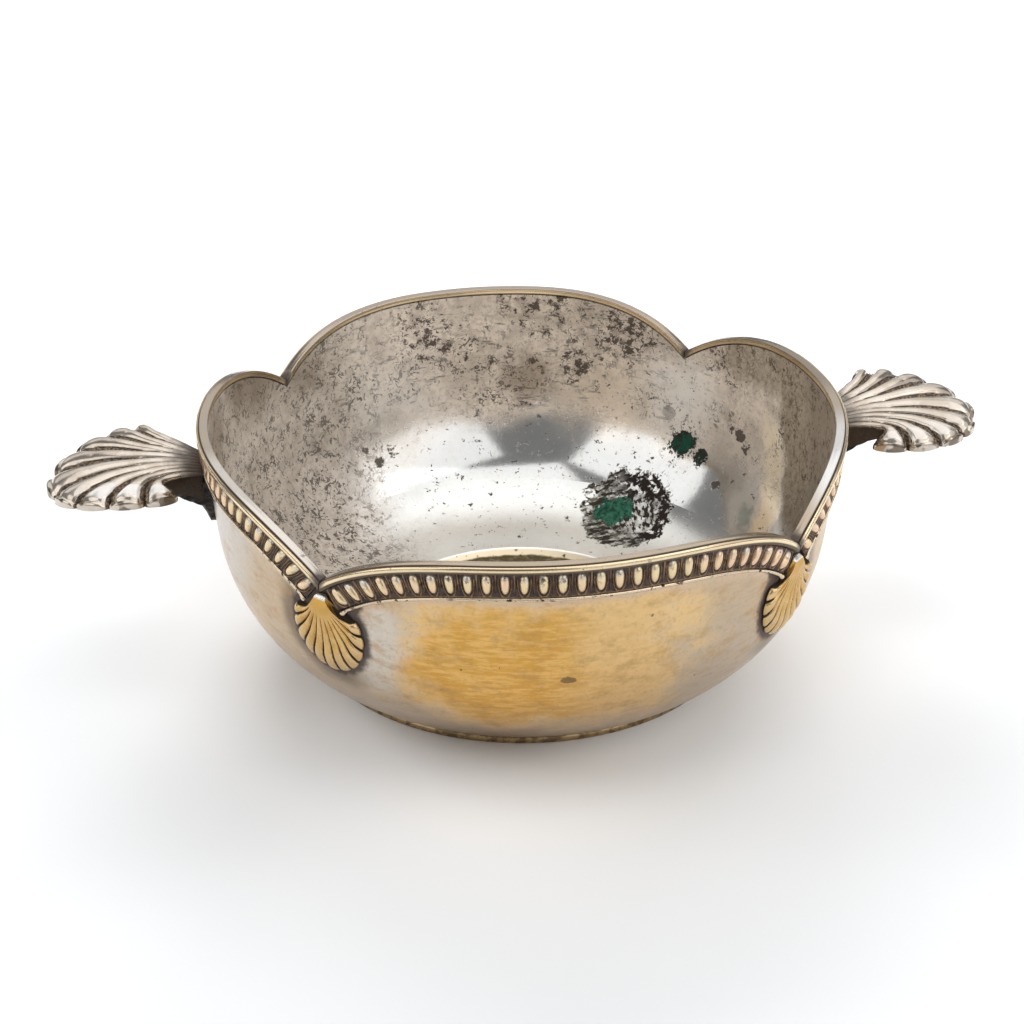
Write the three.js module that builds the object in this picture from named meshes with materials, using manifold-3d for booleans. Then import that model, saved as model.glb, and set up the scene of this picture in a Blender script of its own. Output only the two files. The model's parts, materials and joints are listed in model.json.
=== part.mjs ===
// A small four-lobed trinket bowl of silvered and gilded brass with two scallop-shell handles.
// Millimetres, +Z up. The origin is the centre of the foot's underside, the handles lie on X.
import * as THREE from 'three';
import { mergeVertices } from 'three/addons/utils/BufferGeometryUtils.js';
import Module from 'manifold-3d';

// Bowl
const rimRadius = 60;           // outermost edge of the rim
const lobes = 4;                // front, right, back and left
const lobeHeight = 47.2;        // top of the rim at the middle of a lobe
const notchDepth = 9.3;         // how far the rim dips where two lobes meet
const arch = 3.8;               // power of the rim's arch: flat in the middle, steep at the ends
const notchPinch = 0.5;         // how far the wall draws in at each notch
const pinchPower = 5;           // how closely that crease keeps to the notch
const sheet = 0.8;              // thickness of the bowl's sheet metal
const flare = 6.4;              // degrees that the wall leans outwards
const bellyTop = 27.4;          // height where the straight wall turns into the belly
const bellyRadius = 34.5;       // radius of the belly's curve
const arcSteps = 6;             // facets along that curve
const stretchFrom = 8;          // height from which the wall is drawn up into lobes
const stretchPower = 1.5;       // how gently that stretch starts
const round = 72;               // facets round the bowl
const seat = 0.25;              // solder gap between pieces that are fixed to each other

// Foot and the well pressed into the floor above it
const footInset = 0.35;         // how far the ring stands in from the edge of the flat bottom
const footWidth = 3.6;
const footHeight = 1.6;
const footRound = 0.6;          // rounding of the ring's outer edge
const wellRadius = 28.6;
const wellDepth = 1.25;
const wellSlope = 1.8;          // width of the slope round the well

// Border: distances below the rim's top and outwards from the wall
const mouldingWidth = 2.35;     // broad flat band on top of the rim
const mouldingHeight = 1.6;
const mouldingLip = 1.1;        // thickness of the band over the edge of the wall
const beadReach = 0.45;         // how far the half-round bead stands out of the band
const edgeBevel = 0.25;
const stripBase = 0.4;          // thickness of the strip that carries the eggs
const stripHeight = 4.1;
const eggsPerLobe = 29;
const eggRelief = 0.6;          // height of an egg over the strip
const eggShare = 0.39;          // half width of an egg as a share of the spacing
const columnsPerEgg = 3;
const wireRadius = 0.35;
const wireSides = 6;
const wireEndSwell = 1.5;       // the wire thickens where it meets a corner shell

// Corner shells, measured down from the notch and sideways along the wall
const cornerShell = {
  ribs: 11, perRib: 2, start: 2.6, neckHalf: 0.9, reach: 5.0, spread: 2.6,
  centre: 10.6, down: 8.3, halfWidth: 7.8, fan: 122, evenness: 1, tuck: 0,
  notch: 0.5, relief: 0.3, topSteps: [0, 0.3, 0.6, 0.85, 1], backSteps: [1, 0.6, 0.25, 0],
};
const cornerDome = 1.1;         // thickness of a corner shell in its middle
const cornerEdge = 0.45;        // thickness at its edge

// Handles, measured outwards from the bowl's axis and sideways
const neckInset = 1.4;          // how far the neck starts in from the rim's edge
const shellReach = 11.1;        // from the rim's edge out to the middle of the shell
const handleShell = {
  ribs: 9, perRib: 4, start: rimRadius - neckInset, neckHalf: 3.9, reach: 11.5, spread: 1.4,
  centre: rimRadius + shellReach, down: 16.2, halfWidth: 15.5, fan: 118, evenness: 0.9, tuck: 0.15,
  notch: 1.3, relief: 1.0, topSteps: [0, 0.3, 0.52, 0.74, 0.92, 1], backSteps: [1, 0.75, 0.4, 0],
};
const neckDrop = 6.3;           // how far below the rim's top a handle leaves it
const neckThickness = 3.0;
const crownLift = 4.3;          // height over the neck that pulls the shell's top into a dome
const edgeLift = 0.5;           // height of the shell's top edge over the neck
const shellThickness = 1.7;
const sideHang = 1.0;           // how much lower the ribs beside the neck end
const bracketHeight = 11.4;     // height of the leaf-shaped bracket, from its tip to the neck's top
const bracketReach = 7.2;       // how far the bracket carries out under the handle
const bracketBelly = 5.0;       // how far its middle stands off the wall
const bracketDip = 3.0;         // how far its arch dips below the neck
const bracketTipHalf = 0.9;     // half width of its pointed end
const bracketSteps = 4;
const leafRidge = 1.0;          // how far its middle stands over its sides

// Use has bent the handles: how much higher a shell's edge stands, how low its tip hangs and how
// far one side stands over the other
const bent = {
  left: { rise: 0.3, droop: 2.9, lift: 0.33 },
  right: { rise: 0.65, droop: 1.1, lift: 0.45 },
};

const wasm = await Module();
wasm.setup();

const lobeAngle = Math.PI / lobes;
const lobeArc = rimRadius * lobeAngle;
const lean = Math.tan(THREE.MathUtils.degToRad(flare));
const wallRadius = rimRadius - mouldingWidth + sheet;
const stripTop = mouldingHeight + seat;
const wireDown = stripTop + stripHeight + seat + wireRadius;
const borderDepth = wireDown + wireRadius;
const collarFoot = lobeHeight - borderDepth;
const wallTop = lobeHeight - mouldingLip - seat;
const bottom = footHeight + seat;
const neckTop = lobeHeight - neckDrop;
const bracketFoot = neckTop - bracketHeight;

const finish = {
  silver: { color: 0xb3aba0, roughness: 0.34, metalness: 0.9 },
  rim: { color: 0xc9bfae, roughness: 0.28, metalness: 0.95 },
  border: { color: 0xc9ab74, roughness: 0.36, metalness: 0.9 },
  gilt: { color: 0xd9ae5c, roughness: 0.33, metalness: 0.95 },
  cast: { color: 0xb9b2a6, roughness: 0.25, metalness: 0.95 },
};

// Share of the way from the middle of a lobe, 0, to the notch beside it, 1
function lobeShare(angle) {
  const turn = angle / (2 * lobeAngle);
  return 2 * Math.abs(turn - Math.round(turn));
}

function rimHeight(share) {
  return lobeHeight - notchDepth * share ** arch;
}

// Rise of the rim for each millimetre along it, on the side of a lobe that place is on
function rimSlope(place) {
  return -Math.sign(place) * notchDepth * arch * Math.abs(place) ** (arch - 1) / lobeArc;
}

// Radius of the wall's outside at a height on the middle of a lobe, before the lobes are drawn up
function profileRadius(height) {
  const tangent = wallRadius - lean * (collarFoot - bellyTop);
  if (height >= collarFoot) return wallRadius;
  if (height >= bellyTop) return tangent + lean * (height - bellyTop);
  const centre = bellyCentre();
  return centre.x + Math.sqrt(bellyRadius ** 2 - (centre.y - height) ** 2);
}

function bellyCentre() {
  const tilt = THREE.MathUtils.degToRad(flare);
  const tangent = wallRadius - lean * (collarFoot - bellyTop);
  return new THREE.Vector2(tangent - bellyRadius * Math.cos(tilt), bellyTop + bellyRadius * Math.sin(tilt));
}

// How far the lobes' stretch lowers a point of the profile at an angle round the bowl
function stretch(height, angle) {
  const share = lobeShare(angle);
  const steep = Math.hypot(1, rimSlope(share));
  const drop = notchDepth * share ** arch + (mouldingLip + seat) * (steep - 1);
  const rise = THREE.MathUtils.clamp((height - stretchFrom) / (wallTop - stretchFrom), 0, 1.1);
  return drop * rise ** stretchPower;
}

function pinch(height, angle) {
  const rise = THREE.MathUtils.clamp((height - stretchFrom) / (wallTop - stretchFrom), 0, 1);
  return notchPinch * lobeShare(angle) ** pinchPower * rise;
}

// Radius of the wall's outside at a true height and an angle round the bowl
function wallAt(angle, height) {
  let level = height;
  for (let i = 0; i < 12; i++) level = height + stretch(level, angle);
  return profileRadius(level) - pinch(level, angle);
}

function wallPoint(angle, height, out) {
  const radius = wallAt(angle, height) + out;
  return new THREE.Vector3(radius * Math.cos(angle), radius * Math.sin(angle), height);
}

// A point of the border: place runs from -1 to 1 along a lobe, down is square to the rim's line
function borderPoint(middle, place, down, out, mitred) {
  const slope = rimSlope(place);
  const steep = Math.hypot(1, slope);
  const along = place * lobeArc + (mitred ? 0 : down * slope / steep);
  const height = rimHeight(Math.abs(place)) - (mitred ? down * steep : down / steep);
  return wallPoint(middle + along / rimRadius, height, out);
}

function shapeOf(points) {
  return new THREE.Shape(points.map(([x, y]) => new THREE.Vector2(x, y)));
}

function toSolid(geometry) {
  const bare = geometry.clone();
  bare.deleteAttribute('normal');
  bare.deleteAttribute('uv');
  const merged = mergeVertices(bare, 1e-4);
  const triVerts = [];
  const index = merged.index.array;
  for (let i = 0; i < index.length; i += 3) {
    const [a, b, c] = [index[i], index[i + 1], index[i + 2]];
    if (a !== b && b !== c && c !== a) triVerts.push(a, b, c);
  }
  if (volumeOf(merged.attributes.position, triVerts) < 0) triVerts.reverse();
  return new wasm.Manifold(new wasm.Mesh({
    numProp: 3,
    vertProperties: new Float32Array(merged.attributes.position.array),
    triVerts: new Uint32Array(triVerts),
  }));
}

function volumeOf(position, triVerts) {
  const [a, b, c] = [new THREE.Vector3(), new THREE.Vector3(), new THREE.Vector3()];
  let sum = 0;
  for (let i = 0; i < triVerts.length; i += 3) {
    a.fromBufferAttribute(position, triVerts[i]);
    b.fromBufferAttribute(position, triVerts[i + 1]);
    c.fromBufferAttribute(position, triVerts[i + 2]);
    sum += a.dot(b.cross(c)) / 6;
  }
  return sum;
}

function toGeometry(solid) {
  const mesh = solid.getMesh();
  const geometry = new THREE.BufferGeometry();
  geometry.setAttribute('position', new THREE.BufferAttribute(mesh.vertProperties, mesh.numProp));
  geometry.setIndex(new THREE.BufferAttribute(mesh.triVerts, 1));
  geometry.computeVertexNormals();
  return geometry;
}

function addPiece(name, solid, look) {
  const material = new THREE.MeshStandardMaterial(finish[look]);
  material.name = look;
  const mesh = new THREE.Mesh(toGeometry(solid), material);
  mesh.name = name;
  group.add(mesh);
  return mesh;
}

function moveVertices(geometry, place) {
  const position = geometry.attributes.position;
  const from = new THREE.Vector3();
  for (let i = 0; i < position.count; i++) {
    const to = place(from.fromBufferAttribute(position, i));
    position.setXYZ(i, to.x, to.y, to.z);
  }
  return geometry;
}

// A section swept in equal steps, whose third coordinate then runs from 0 to 1
function sweep(section, steps, place) {
  const geometry = new THREE.ExtrudeGeometry(section, { depth: 1, steps, bevelEnabled: false });
  return toSolid(moveVertices(geometry, place));
}

// A profile turned about Z, given as pairs of radius and height
function turned(profile) {
  const points = profile.map(([radius, height]) => new THREE.Vector2(radius, height));
  return new THREE.LatheGeometry(points, round).rotateX(Math.PI / 2);
}

// The belly's curve from the flat bottom up to the straight wall, set in by a thickness
function bellyCurve(inset, floor) {
  const centre = bellyCentre();
  const radius = bellyRadius - inset;
  const first = Math.asin((centre.y - floor) / radius);
  const last = THREE.MathUtils.degToRad(flare);
  const points = [];
  for (let i = 0; i <= arcSteps; i++) {
    const angle = THREE.MathUtils.lerp(first, last, i / arcSteps);
    points.push([centre.x + radius * Math.cos(angle), centre.y - radius * Math.sin(angle)]);
  }
  return points;
}

function bowlBody() {
  const floor = bottom + sheet;
  const half = (collarFoot + bellyTop) / 2;
  const profile = [
    [0, bottom - wellDepth], [wellRadius - wellSlope, bottom - wellDepth], [wellRadius, bottom],
    ...bellyCurve(0, bottom),
    [profileRadius(half), half], [wallRadius, collarFoot], [wallRadius, wallTop],
    [wallRadius - sheet, wallTop], [wallRadius - sheet, collarFoot],
    [profileRadius(half) - sheet, half],
    ...bellyCurve(sheet, floor).reverse(),
    [wellRadius, floor], [wellRadius - wellSlope, floor - wellDepth], [0, floor - wellDepth],
  ];
  return toSolid(moveVertices(turned(profile), (p) => {
    const angle = Math.atan2(p.y, p.x);
    const radius = Math.max(Math.hypot(p.x, p.y) - pinch(p.z, angle), 0);
    const height = p.z - stretch(p.z, angle);
    return p.set(radius * Math.cos(angle), radius * Math.sin(angle), height);
  }));
}

function footRing() {
  const footRadius = profileRadius(bottom) - footInset;
  const inner = footRadius - footWidth;
  const edge = footRadius - footRound;
  const profile = [
    [inner, 0], [edge, 0], [footRadius, footRound], [edge, footHeight], [inner, footHeight], [inner, 0],
  ];
  return toSolid(turned(profile));
}

// The flat band on the rim with the half-round bead along its outer edge
function rimMoulding(middle) {
  const outer = rimRadius - wallRadius;
  const band = outer - beadReach;
  const inner = outer - mouldingWidth;
  const section = shapeOf([
    [inner, -edgeBevel], [inner + edgeBevel, 0], [band, 0], [outer, -mouldingHeight / 3],
    [outer, -mouldingHeight * 2 / 3], [band, -mouldingHeight], [seat, -mouldingHeight],
    [seat, -mouldingLip], [inner, -mouldingLip],
  ]);
  const steps = round / lobes;
  const end = 1 - seat / 2 / lobeArc;
  return sweep(section, steps, (p) => {
    const place = (2 * p.z - 1) * end;
    const mitred = p.z < 0.5 / steps || p.z > 1 - 0.5 / steps;
    return borderPoint(middle, place, -p.y, p.x, mitred);
  });
}

// The strip of eggs: its outer face is raised into a row of domes
function eggBorder(middle) {
  const face = seat + stripBase;
  const foot = stripTop + stripHeight;
  const rows = [0, 0.2, 0.5, 0.8, 1].map((share) => [face, -stripTop - share * stripHeight]);
  const section = shapeOf([...rows, [seat, -foot], [seat, -stripTop]]);
  const end = 1 - seat / 2 / lobeArc;
  return sweep(section, eggsPerLobe * columnsPerEgg, (p) => {
    const place = (2 * p.z - 1) * end;
    const raised = p.x > seat ? eggHeight(p.z * eggsPerLobe, (-p.y - stripTop) / stripHeight) : 0;
    return borderPoint(middle, place, -p.y, p.x + raised, false);
  });
}

// Height of an egg's dome: count runs along the row, share runs down the strip
function eggHeight(count, share) {
  const across = (count - Math.floor(count) - 0.5) / eggShare;
  const down = 2 * share - 1;
  return eggRelief * Math.sqrt(Math.max(0, 1 - across ** 2 - down ** 2));
}

function lowerWire(middle) {
  const steps = round / lobes;
  const points = [];
  for (let i = 0; i < wireSides; i++) {
    const angle = 2 * Math.PI * i / wireSides;
    points.push([wireRadius * Math.cos(angle), wireRadius * Math.sin(angle)]);
  }
  const end = 1 - seat / 2 / lobeArc;
  return sweep(shapeOf(points), steps, (p) => {
    const place = (2 * p.z - 1) * end;
    const atEnd = p.z < 0.5 / steps || p.z > 1 - 0.5 / steps;
    const grown = atEnd ? wireEndSwell : 1;
    const out = seat + wireRadius + p.x * grown + (grown - 1) * wireRadius;
    const down = wireDown - p.y * grown + (grown - 1) * wireRadius;
    return borderPoint(middle, place, down, out, false);
  });
}

// A scallop shell in flat coordinates: x away from the hinge, y across, z from 0 underneath to 1 on
// top, with rib telling how near a point is to the crest of its rib
function scallopPoint(shell, across, along) {
  const bend = Math.sign(across) * Math.abs(across) ** shell.evenness;
  const angle = THREE.MathUtils.degToRad(shell.fan) * bend;
  const part = (across + 1) / 2 * shell.ribs;
  const side = 2 * (part - Math.floor(part + 1e-6)) - 1;
  const rib = Math.sqrt(Math.max(0, 1 - side ** 2));
  const cut = 1 - shell.notch * (1 - rib) / shell.halfWidth;
  const hinge = new THREE.Vector2(shell.start, across * shell.neckHalf);
  const pull = new THREE.Vector2(shell.start + shell.reach, across * (shell.neckHalf + shell.spread));
  const edge = new THREE.Vector2(
    shell.centre + shell.down * cut * Math.cos(angle),
    shell.halfWidth * cut * Math.sin(angle) * (1 + shell.tuck * Math.min(0, Math.cos(angle))),
  );
  const point = new THREE.QuadraticBezierCurve(hinge, pull, edge).getPoint(along);
  return { x: point.x, y: point.y, rib, angle };
}

// A shell's solid: heights gives the top and the back at a point, place puts the point on the bowl
function scallop(shell, heights, place) {
  const section = shapeOf([
    ...shell.topSteps.map((along) => [along, 1]),
    ...shell.backSteps.map((along) => [along, 0]),
  ]);
  return sweep(section, shell.ribs * shell.perRib, (p) => {
    const flat = scallopPoint(shell, 2 * p.z - 1, p.x);
    const [top, back] = heights(flat, p.x);
    return place(flat.x, flat.y, p.y > 0.5 ? top : back);
  });
}

function cornerShellAt(angle) {
  const notchHeight = rimHeight(1);
  const heights = (flat, along) => {
    const body = THREE.MathUtils.lerp(cornerDome, cornerEdge, along ** 2);
    const ribbed = cornerShell.relief * (flat.rib - 1) * Math.min(1, 2 * along);
    return [seat + body + ribbed * (1 - along * 0.4), seat];
  };
  return scallop(cornerShell, heights, (down, across, out) => (
    wallPoint(angle + across / rimRadius, notchHeight - down, out)
  ));
}

function curveHeight(first, pull, last, share) {
  const line = new THREE.QuadraticBezierCurve(
    new THREE.Vector2(0, first), new THREE.Vector2(0.5, pull), new THREE.Vector2(1, last),
  );
  return line.getPoint(share).y;
}

function handleShellSolid({ rise, droop, lift }) {
  const heights = (flat, along) => {
    const facing = Math.cos(flat.angle);
    const hang = (droop * Math.max(0, facing) ** 2 - sideHang * Math.min(0, facing)) * along ** 2;
    const sag = hang - along * (rise + lift * flat.y / handleShell.halfWidth);
    const ribbed = handleShell.relief * (flat.rib - 1) * along ** 0.7;
    const top = curveHeight(neckTop, neckTop + crownLift, neckTop + edgeLift, along) + ribbed - sag;
    const under = curveHeight(neckThickness, shellThickness, shellThickness, along);
    const back = curveHeight(neckTop, neckTop + crownLift, neckTop + edgeLift, along) - under - sag;
    return [Math.max(top, back + 0.5), back];
  };
  return scallop(handleShell, heights, (out, across, height) => new THREE.Vector3(out, across, height));
}

// The leaf-shaped bracket that carries the handle down onto the wall
function bracketSolid() {
  const inside = wallRadius - 3 * sheet;
  const top = neckTop - neckThickness / 2;
  const under = neckTop - neckThickness;
  const end = rimRadius + bracketReach;
  const middle = (under + bracketFoot) / 2;
  const foot = profileRadius(bracketFoot);
  const outline = new THREE.Shape();
  outline.moveTo(inside, bracketFoot);
  outline.lineTo(inside, top);
  outline.lineTo(end, top);
  outline.lineTo(end, under);
  const standing = profileRadius(middle);
  outline.quadraticCurveTo(standing + bracketBelly, under - bracketDip, standing + bracketBelly / 2, middle);
  outline.lineTo(foot + bracketTipHalf, bracketFoot);
  const geometry = new THREE.ExtrudeGeometry(outline, {
    depth: 1, steps: bracketSteps, bevelEnabled: false, curveSegments: 4,
  });
  return toSolid(moveVertices(geometry, (p) => {
    const side = 2 * p.z - 1;
    const rise = Math.max(0, (p.y - bracketFoot) / (top - bracketFoot));
    const half = THREE.MathUtils.lerp(bracketTipHalf, handleShell.neckHalf, rise ** 0.6);
    const out = p.x > foot ? p.x - leafRidge * side ** 2 * Math.min(1, (p.x - foot) / leafRidge) : p.x;
    return p.set(out, side * half, p.y);
  }));
}

// Everything inside the bowl's wall and border, with the solder gap, that a handle is cut to
function seatingCutter() {
  const low = bracketFoot - bracketReach;
  const step = collarFoot - seat;
  const profile = [[0, low]];
  for (let i = 0; i <= bracketSteps; i++) {
    const height = THREE.MathUtils.lerp(low, step, i / bracketSteps);
    profile.push([profileRadius(height) + seat, height]);
  }
  const clear = rimRadius + seat;
  profile.push([clear, step], [clear, lobeHeight + bracketReach], [0, lobeHeight + bracketReach]);
  return toSolid(turned(profile));
}

function handle(side) {
  const whole = handleShellSolid(bent[side]).add(bracketSolid());
  return whole.subtract(seatingCutter());
}

const group = new THREE.Group();
addPiece('bowl_body', bowlBody(), 'silver');
addPiece('foot_ring', footRing(), 'gilt');

const sides = { right: 0, back: lobeAngle * 2, left: lobeAngle * 4, front: -lobeAngle * 2 };
for (const [side, middle] of Object.entries(sides)) {
  addPiece(`rim_moulding_${side}`, rimMoulding(middle), 'rim');
  addPiece(`egg_border_${side}`, eggBorder(middle), 'border');
  addPiece(`lower_wire_${side}`, lowerWire(middle), 'rim');
}

const corners = { back_right: 1, back_left: 3, front_left: 5, front_right: 7 };
for (const [corner, turn] of Object.entries(corners)) {
  addPiece(`corner_shell_${corner}`, cornerShellAt(turn * lobeAngle), 'gilt');
}

addPiece('handle_right', handle('right'), 'cast');
addPiece('handle_left', handle('left'), 'cast').rotation.z = Math.PI;

export default group;
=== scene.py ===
import functools
import json
import math

import bmesh
import bpy
import numpy as np
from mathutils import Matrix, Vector

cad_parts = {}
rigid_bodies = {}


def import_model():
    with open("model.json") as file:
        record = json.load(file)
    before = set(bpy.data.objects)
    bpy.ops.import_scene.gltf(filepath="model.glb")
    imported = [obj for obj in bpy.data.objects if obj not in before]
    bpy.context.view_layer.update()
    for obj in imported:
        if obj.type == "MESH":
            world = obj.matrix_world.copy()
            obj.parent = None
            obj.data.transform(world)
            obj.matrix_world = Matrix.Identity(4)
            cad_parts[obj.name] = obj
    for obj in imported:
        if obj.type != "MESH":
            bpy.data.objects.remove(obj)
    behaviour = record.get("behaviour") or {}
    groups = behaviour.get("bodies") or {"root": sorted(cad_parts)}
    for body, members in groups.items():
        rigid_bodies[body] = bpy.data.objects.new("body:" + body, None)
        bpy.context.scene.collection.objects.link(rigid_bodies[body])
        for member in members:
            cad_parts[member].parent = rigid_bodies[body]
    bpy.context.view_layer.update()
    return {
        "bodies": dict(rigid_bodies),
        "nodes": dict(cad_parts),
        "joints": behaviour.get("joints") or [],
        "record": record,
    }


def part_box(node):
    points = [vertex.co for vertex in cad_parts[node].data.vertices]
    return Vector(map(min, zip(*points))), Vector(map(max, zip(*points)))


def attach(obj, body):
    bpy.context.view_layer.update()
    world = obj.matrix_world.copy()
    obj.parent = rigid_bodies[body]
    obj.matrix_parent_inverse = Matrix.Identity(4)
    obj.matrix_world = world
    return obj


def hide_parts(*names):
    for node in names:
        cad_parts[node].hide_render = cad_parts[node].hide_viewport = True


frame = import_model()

MM = 0.001


def size_of(node, axis):
    """How far a node reaches along an axis, 0 to 2, in millimetres."""
    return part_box(node)[1][axis] / MM


# Sizes of the bowl, read from the solids
RIM_RADIUS = size_of("rim_moulding_right", 0)
LOBE_HEIGHT = size_of("rim_moulding_right", 2)
FOOT_RADIUS = size_of("foot_ring", 0)
FOOT_HEIGHT = size_of("foot_ring", 2)

# Sizes of the bowl that the solids share
LOBE_ANGLE = math.pi / 4
NOTCH_DEPTH = 9.3
ARCH = 3.8
NOTCH_PINCH = 0.5
PINCH_POWER = 5
SHEET = 0.8
LEAN = math.tan(math.radians(6.4))
BELLY_TOP = 27.4
BELLY_RADIUS = 34.5
STRETCH_FROM = 8.0
STRETCH_POWER = 1.5
SEAT = 0.25
FOOT_WIDTH = 3.6
FOOT_ROUND = 0.6
WELL_RADIUS = 28.6
WELL_DEPTH = 1.25
WELL_SLOPE = 1.8

# Border
BAND_WIDTH = 2.35
BAND_HEIGHT = 1.6
BAND_LIP = 1.1
STRIP_HEIGHT = 4.1
EGGS = 29
WIRE_RADIUS = 0.35

LOBE_ARC = RIM_RADIUS * LOBE_ANGLE
WALL_RADIUS = RIM_RADIUS - BAND_WIDTH + SHEET
STRIP_TOP = BAND_HEIGHT + SEAT
WIRE_DOWN = STRIP_TOP + STRIP_HEIGHT + SEAT + WIRE_RADIUS
COLLAR_FOOT = LOBE_HEIGHT - WIRE_DOWN - WIRE_RADIUS
WALL_TOP = LOBE_HEIGHT - BAND_LIP - SEAT
BOTTOM = FOOT_HEIGHT + SEAT
TANGENT_RADIUS = WALL_RADIUS - LEAN * (COLLAR_FOOT - BELLY_TOP)
BELLY_X = TANGENT_RADIUS - BELLY_RADIUS * math.cos(math.atan(LEAN))
BELLY_Z = BELLY_TOP + BELLY_RADIUS * math.sin(math.atan(LEAN))
LOBE_END = 1 - SEAT / 2 / LOBE_ARC
EGG_SPACING = 2 * LOBE_ARC / EGGS

SIDES = {"right": 0.0, "back": 2 * LOBE_ANGLE, "left": 4 * LOBE_ANGLE, "front": -2 * LOBE_ANGLE}
CORNERS = {"back_right": 1, "back_left": 3, "front_left": 5, "front_right": 7}

# Shells, in flat coordinates away from the hinge and across, and their fans in degrees
CORNER_SHELL = {
    "ribs": 11, "start": 2.6, "neck_half": 0.9, "reach": 5.0, "spread": 2.6, "centre": 10.6,
    "down": 8.3, "half_width": 7.8, "fan": 122, "evenness": 1.0, "tuck": 0.0, "notch": 0.5,
}
HANDLE_SHELL = {
    "ribs": 9, "start": 58.6, "neck_half": 4.8, "reach": 11.5, "spread": 1.4, "centre": 71.1,
    "down": 16.2, "half_width": 15.5, "fan": 118, "evenness": 0.9, "tuck": 0.15, "notch": 1.3,
}
NECK_TOP = 40.9
NECK_THICKNESS = 3.0
SHELL_CROWN = 45.2
SHELL_EDGE_TOP = 41.4
SHELL_THICKNESS = 1.7
SIDE_HANG = 1.0
BENT = {
    "left": {"rise": 0.3, "droop": 2.9, "lift": 0.33},
    "right": {"rise": 0.65, "droop": 1.1, "lift": 0.45},
}
BRACKET_FOOT = 29.5
BRACKET_REACH = 7.2
BRACKET_BELLY = 5.0
BRACKET_DIP = 3.0
BRACKET_TIP_HALF = 0.9
BRACKET_KNEE = 0.6
LEAF_RIDGE = 1.0
LEAF_LOBES = 5


# Curves and the wall

# Rounds in which the level of a wall's point and the foot of a border's point settle
LEVEL_ROUNDS = 12
FOOT_ROUNDS = 30


def smooth(value, low, high):
    """Eases from 0 at low to 1 at high."""
    share = np.clip((value - low) / (high - low), 0, 1)
    return share * share * (3 - 2 * share)


def bell(value, middle, width):
    return np.exp(-(((value - middle) / width) ** 2))


def dome(value, power=2):
    """Height of a round section, from 1 in its middle down to 0 at 1 and past it."""
    return np.sqrt(np.maximum(0, 1 - np.abs(value) ** power))


def waves(seed, count, *coordinates, finest=1.0):
    """A smooth wavy field of about unit height: a sum of sines in random directions."""
    rng = np.random.default_rng(seed)
    total = 0
    for _ in range(count):
        phase = rng.uniform(0, 2 * math.pi)
        for coordinate in coordinates:
            phase = phase + coordinate * rng.normal(0, finest)
        total = total + np.sin(phase)
    return total / math.sqrt(count)


def lobe_share(angle):
    turn = angle / (2 * LOBE_ANGLE)
    return 2 * np.abs(turn - np.round(turn))


def rim_slope(place):
    """Rise of the rim for each millimetre along it, at a place from -1 to 1 along a lobe."""
    place = np.clip(place, -1, 1)
    return -np.sign(place) * NOTCH_DEPTH * ARCH * np.abs(place) ** (ARCH - 1) / LOBE_ARC


def rim_line(place):
    """Height of the rim along a lobe, carried on straight past its ends."""
    inner = np.clip(place, -1, 1)
    past = (place - inner) * LOBE_ARC
    return LOBE_HEIGHT - NOTCH_DEPTH * np.abs(inner) ** ARCH + rim_slope(inner) * past


def profile_radius(height):
    """Radius of the wall's outside on the middle of a lobe, before the lobes are drawn up."""
    straight = TANGENT_RADIUS + LEAN * (height - BELLY_TOP)
    belly = BELLY_X + np.sqrt(np.maximum(0, BELLY_RADIUS ** 2 - (BELLY_Z - height) ** 2))
    radius = np.where(height >= BELLY_TOP, straight, belly)
    return np.where(height >= COLLAR_FOOT, WALL_RADIUS, radius)


def stretch(height, angle):
    share = lobe_share(angle)
    steep = np.hypot(1, rim_slope(share))
    drop = NOTCH_DEPTH * share ** ARCH + (BAND_LIP + SEAT) * (steep - 1)
    rise = np.clip((height - STRETCH_FROM) / (WALL_TOP - STRETCH_FROM), 0, 1.1)
    return drop * rise ** STRETCH_POWER


def pinch(height, angle):
    rise = np.clip((height - STRETCH_FROM) / (WALL_TOP - STRETCH_FROM), 0, 1)
    return NOTCH_PINCH * lobe_share(angle) ** PINCH_POWER * rise


def wall_radius(angle, height):
    level = height
    for _ in range(LEVEL_ROUNDS):
        level = height + stretch(level, angle)
    return profile_radius(level) - pinch(level, angle)


def round_axis(angle, radius, height):
    return np.stack([radius * np.cos(angle), radius * np.sin(angle), height + 0 * angle], axis=-1)


def wall_point(angle, height, out):
    return round_axis(angle, wall_radius(angle, height) + out, height)


def square_point(middle, place, down, out):
    """A point of the border, down measured square to the rim's line."""
    slope = rim_slope(place)
    steep = np.hypot(1, slope)
    arc = place * LOBE_ARC + down * slope / steep
    return wall_point(middle + arc / RIM_RADIUS, rim_line(place) - down / steep, out)


def upright_point(middle, place, down, out):
    """The same, found so that points with one place stand above each other."""
    foot = place
    for _ in range(FOOT_ROUNDS):
        slope = rim_slope(foot)
        foot = place - down * slope / np.hypot(1, slope) / LOBE_ARC
    slope = rim_slope(foot)
    height = rim_line(foot) - down / np.hypot(1, slope)
    return wall_point(middle + place * LOBE_ANGLE, height, out)


def blend_line(first, pull, last, share):
    return (1 - share) ** 2 * first + 2 * share * (1 - share) * pull + share ** 2 * last


# Meshes


def grid_faces(rows, columns, closed):
    """Faces between rows of points that are loops. The last row joins the first where it is closed."""
    corner = np.arange(rows * columns).reshape(rows, columns)
    beside, below = np.roll(corner, -1, axis=1), np.roll(corner, -1, axis=0)
    faces = np.stack([corner, beside, np.roll(below, -1, axis=1), below], axis=-1)
    return faces[:rows if closed else rows - 1].reshape(-1, 4).tolist()


def add_object(name, data):
    thing = bpy.data.objects.new(name, data)
    bpy.context.scene.collection.objects.link(thing)
    return thing


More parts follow.
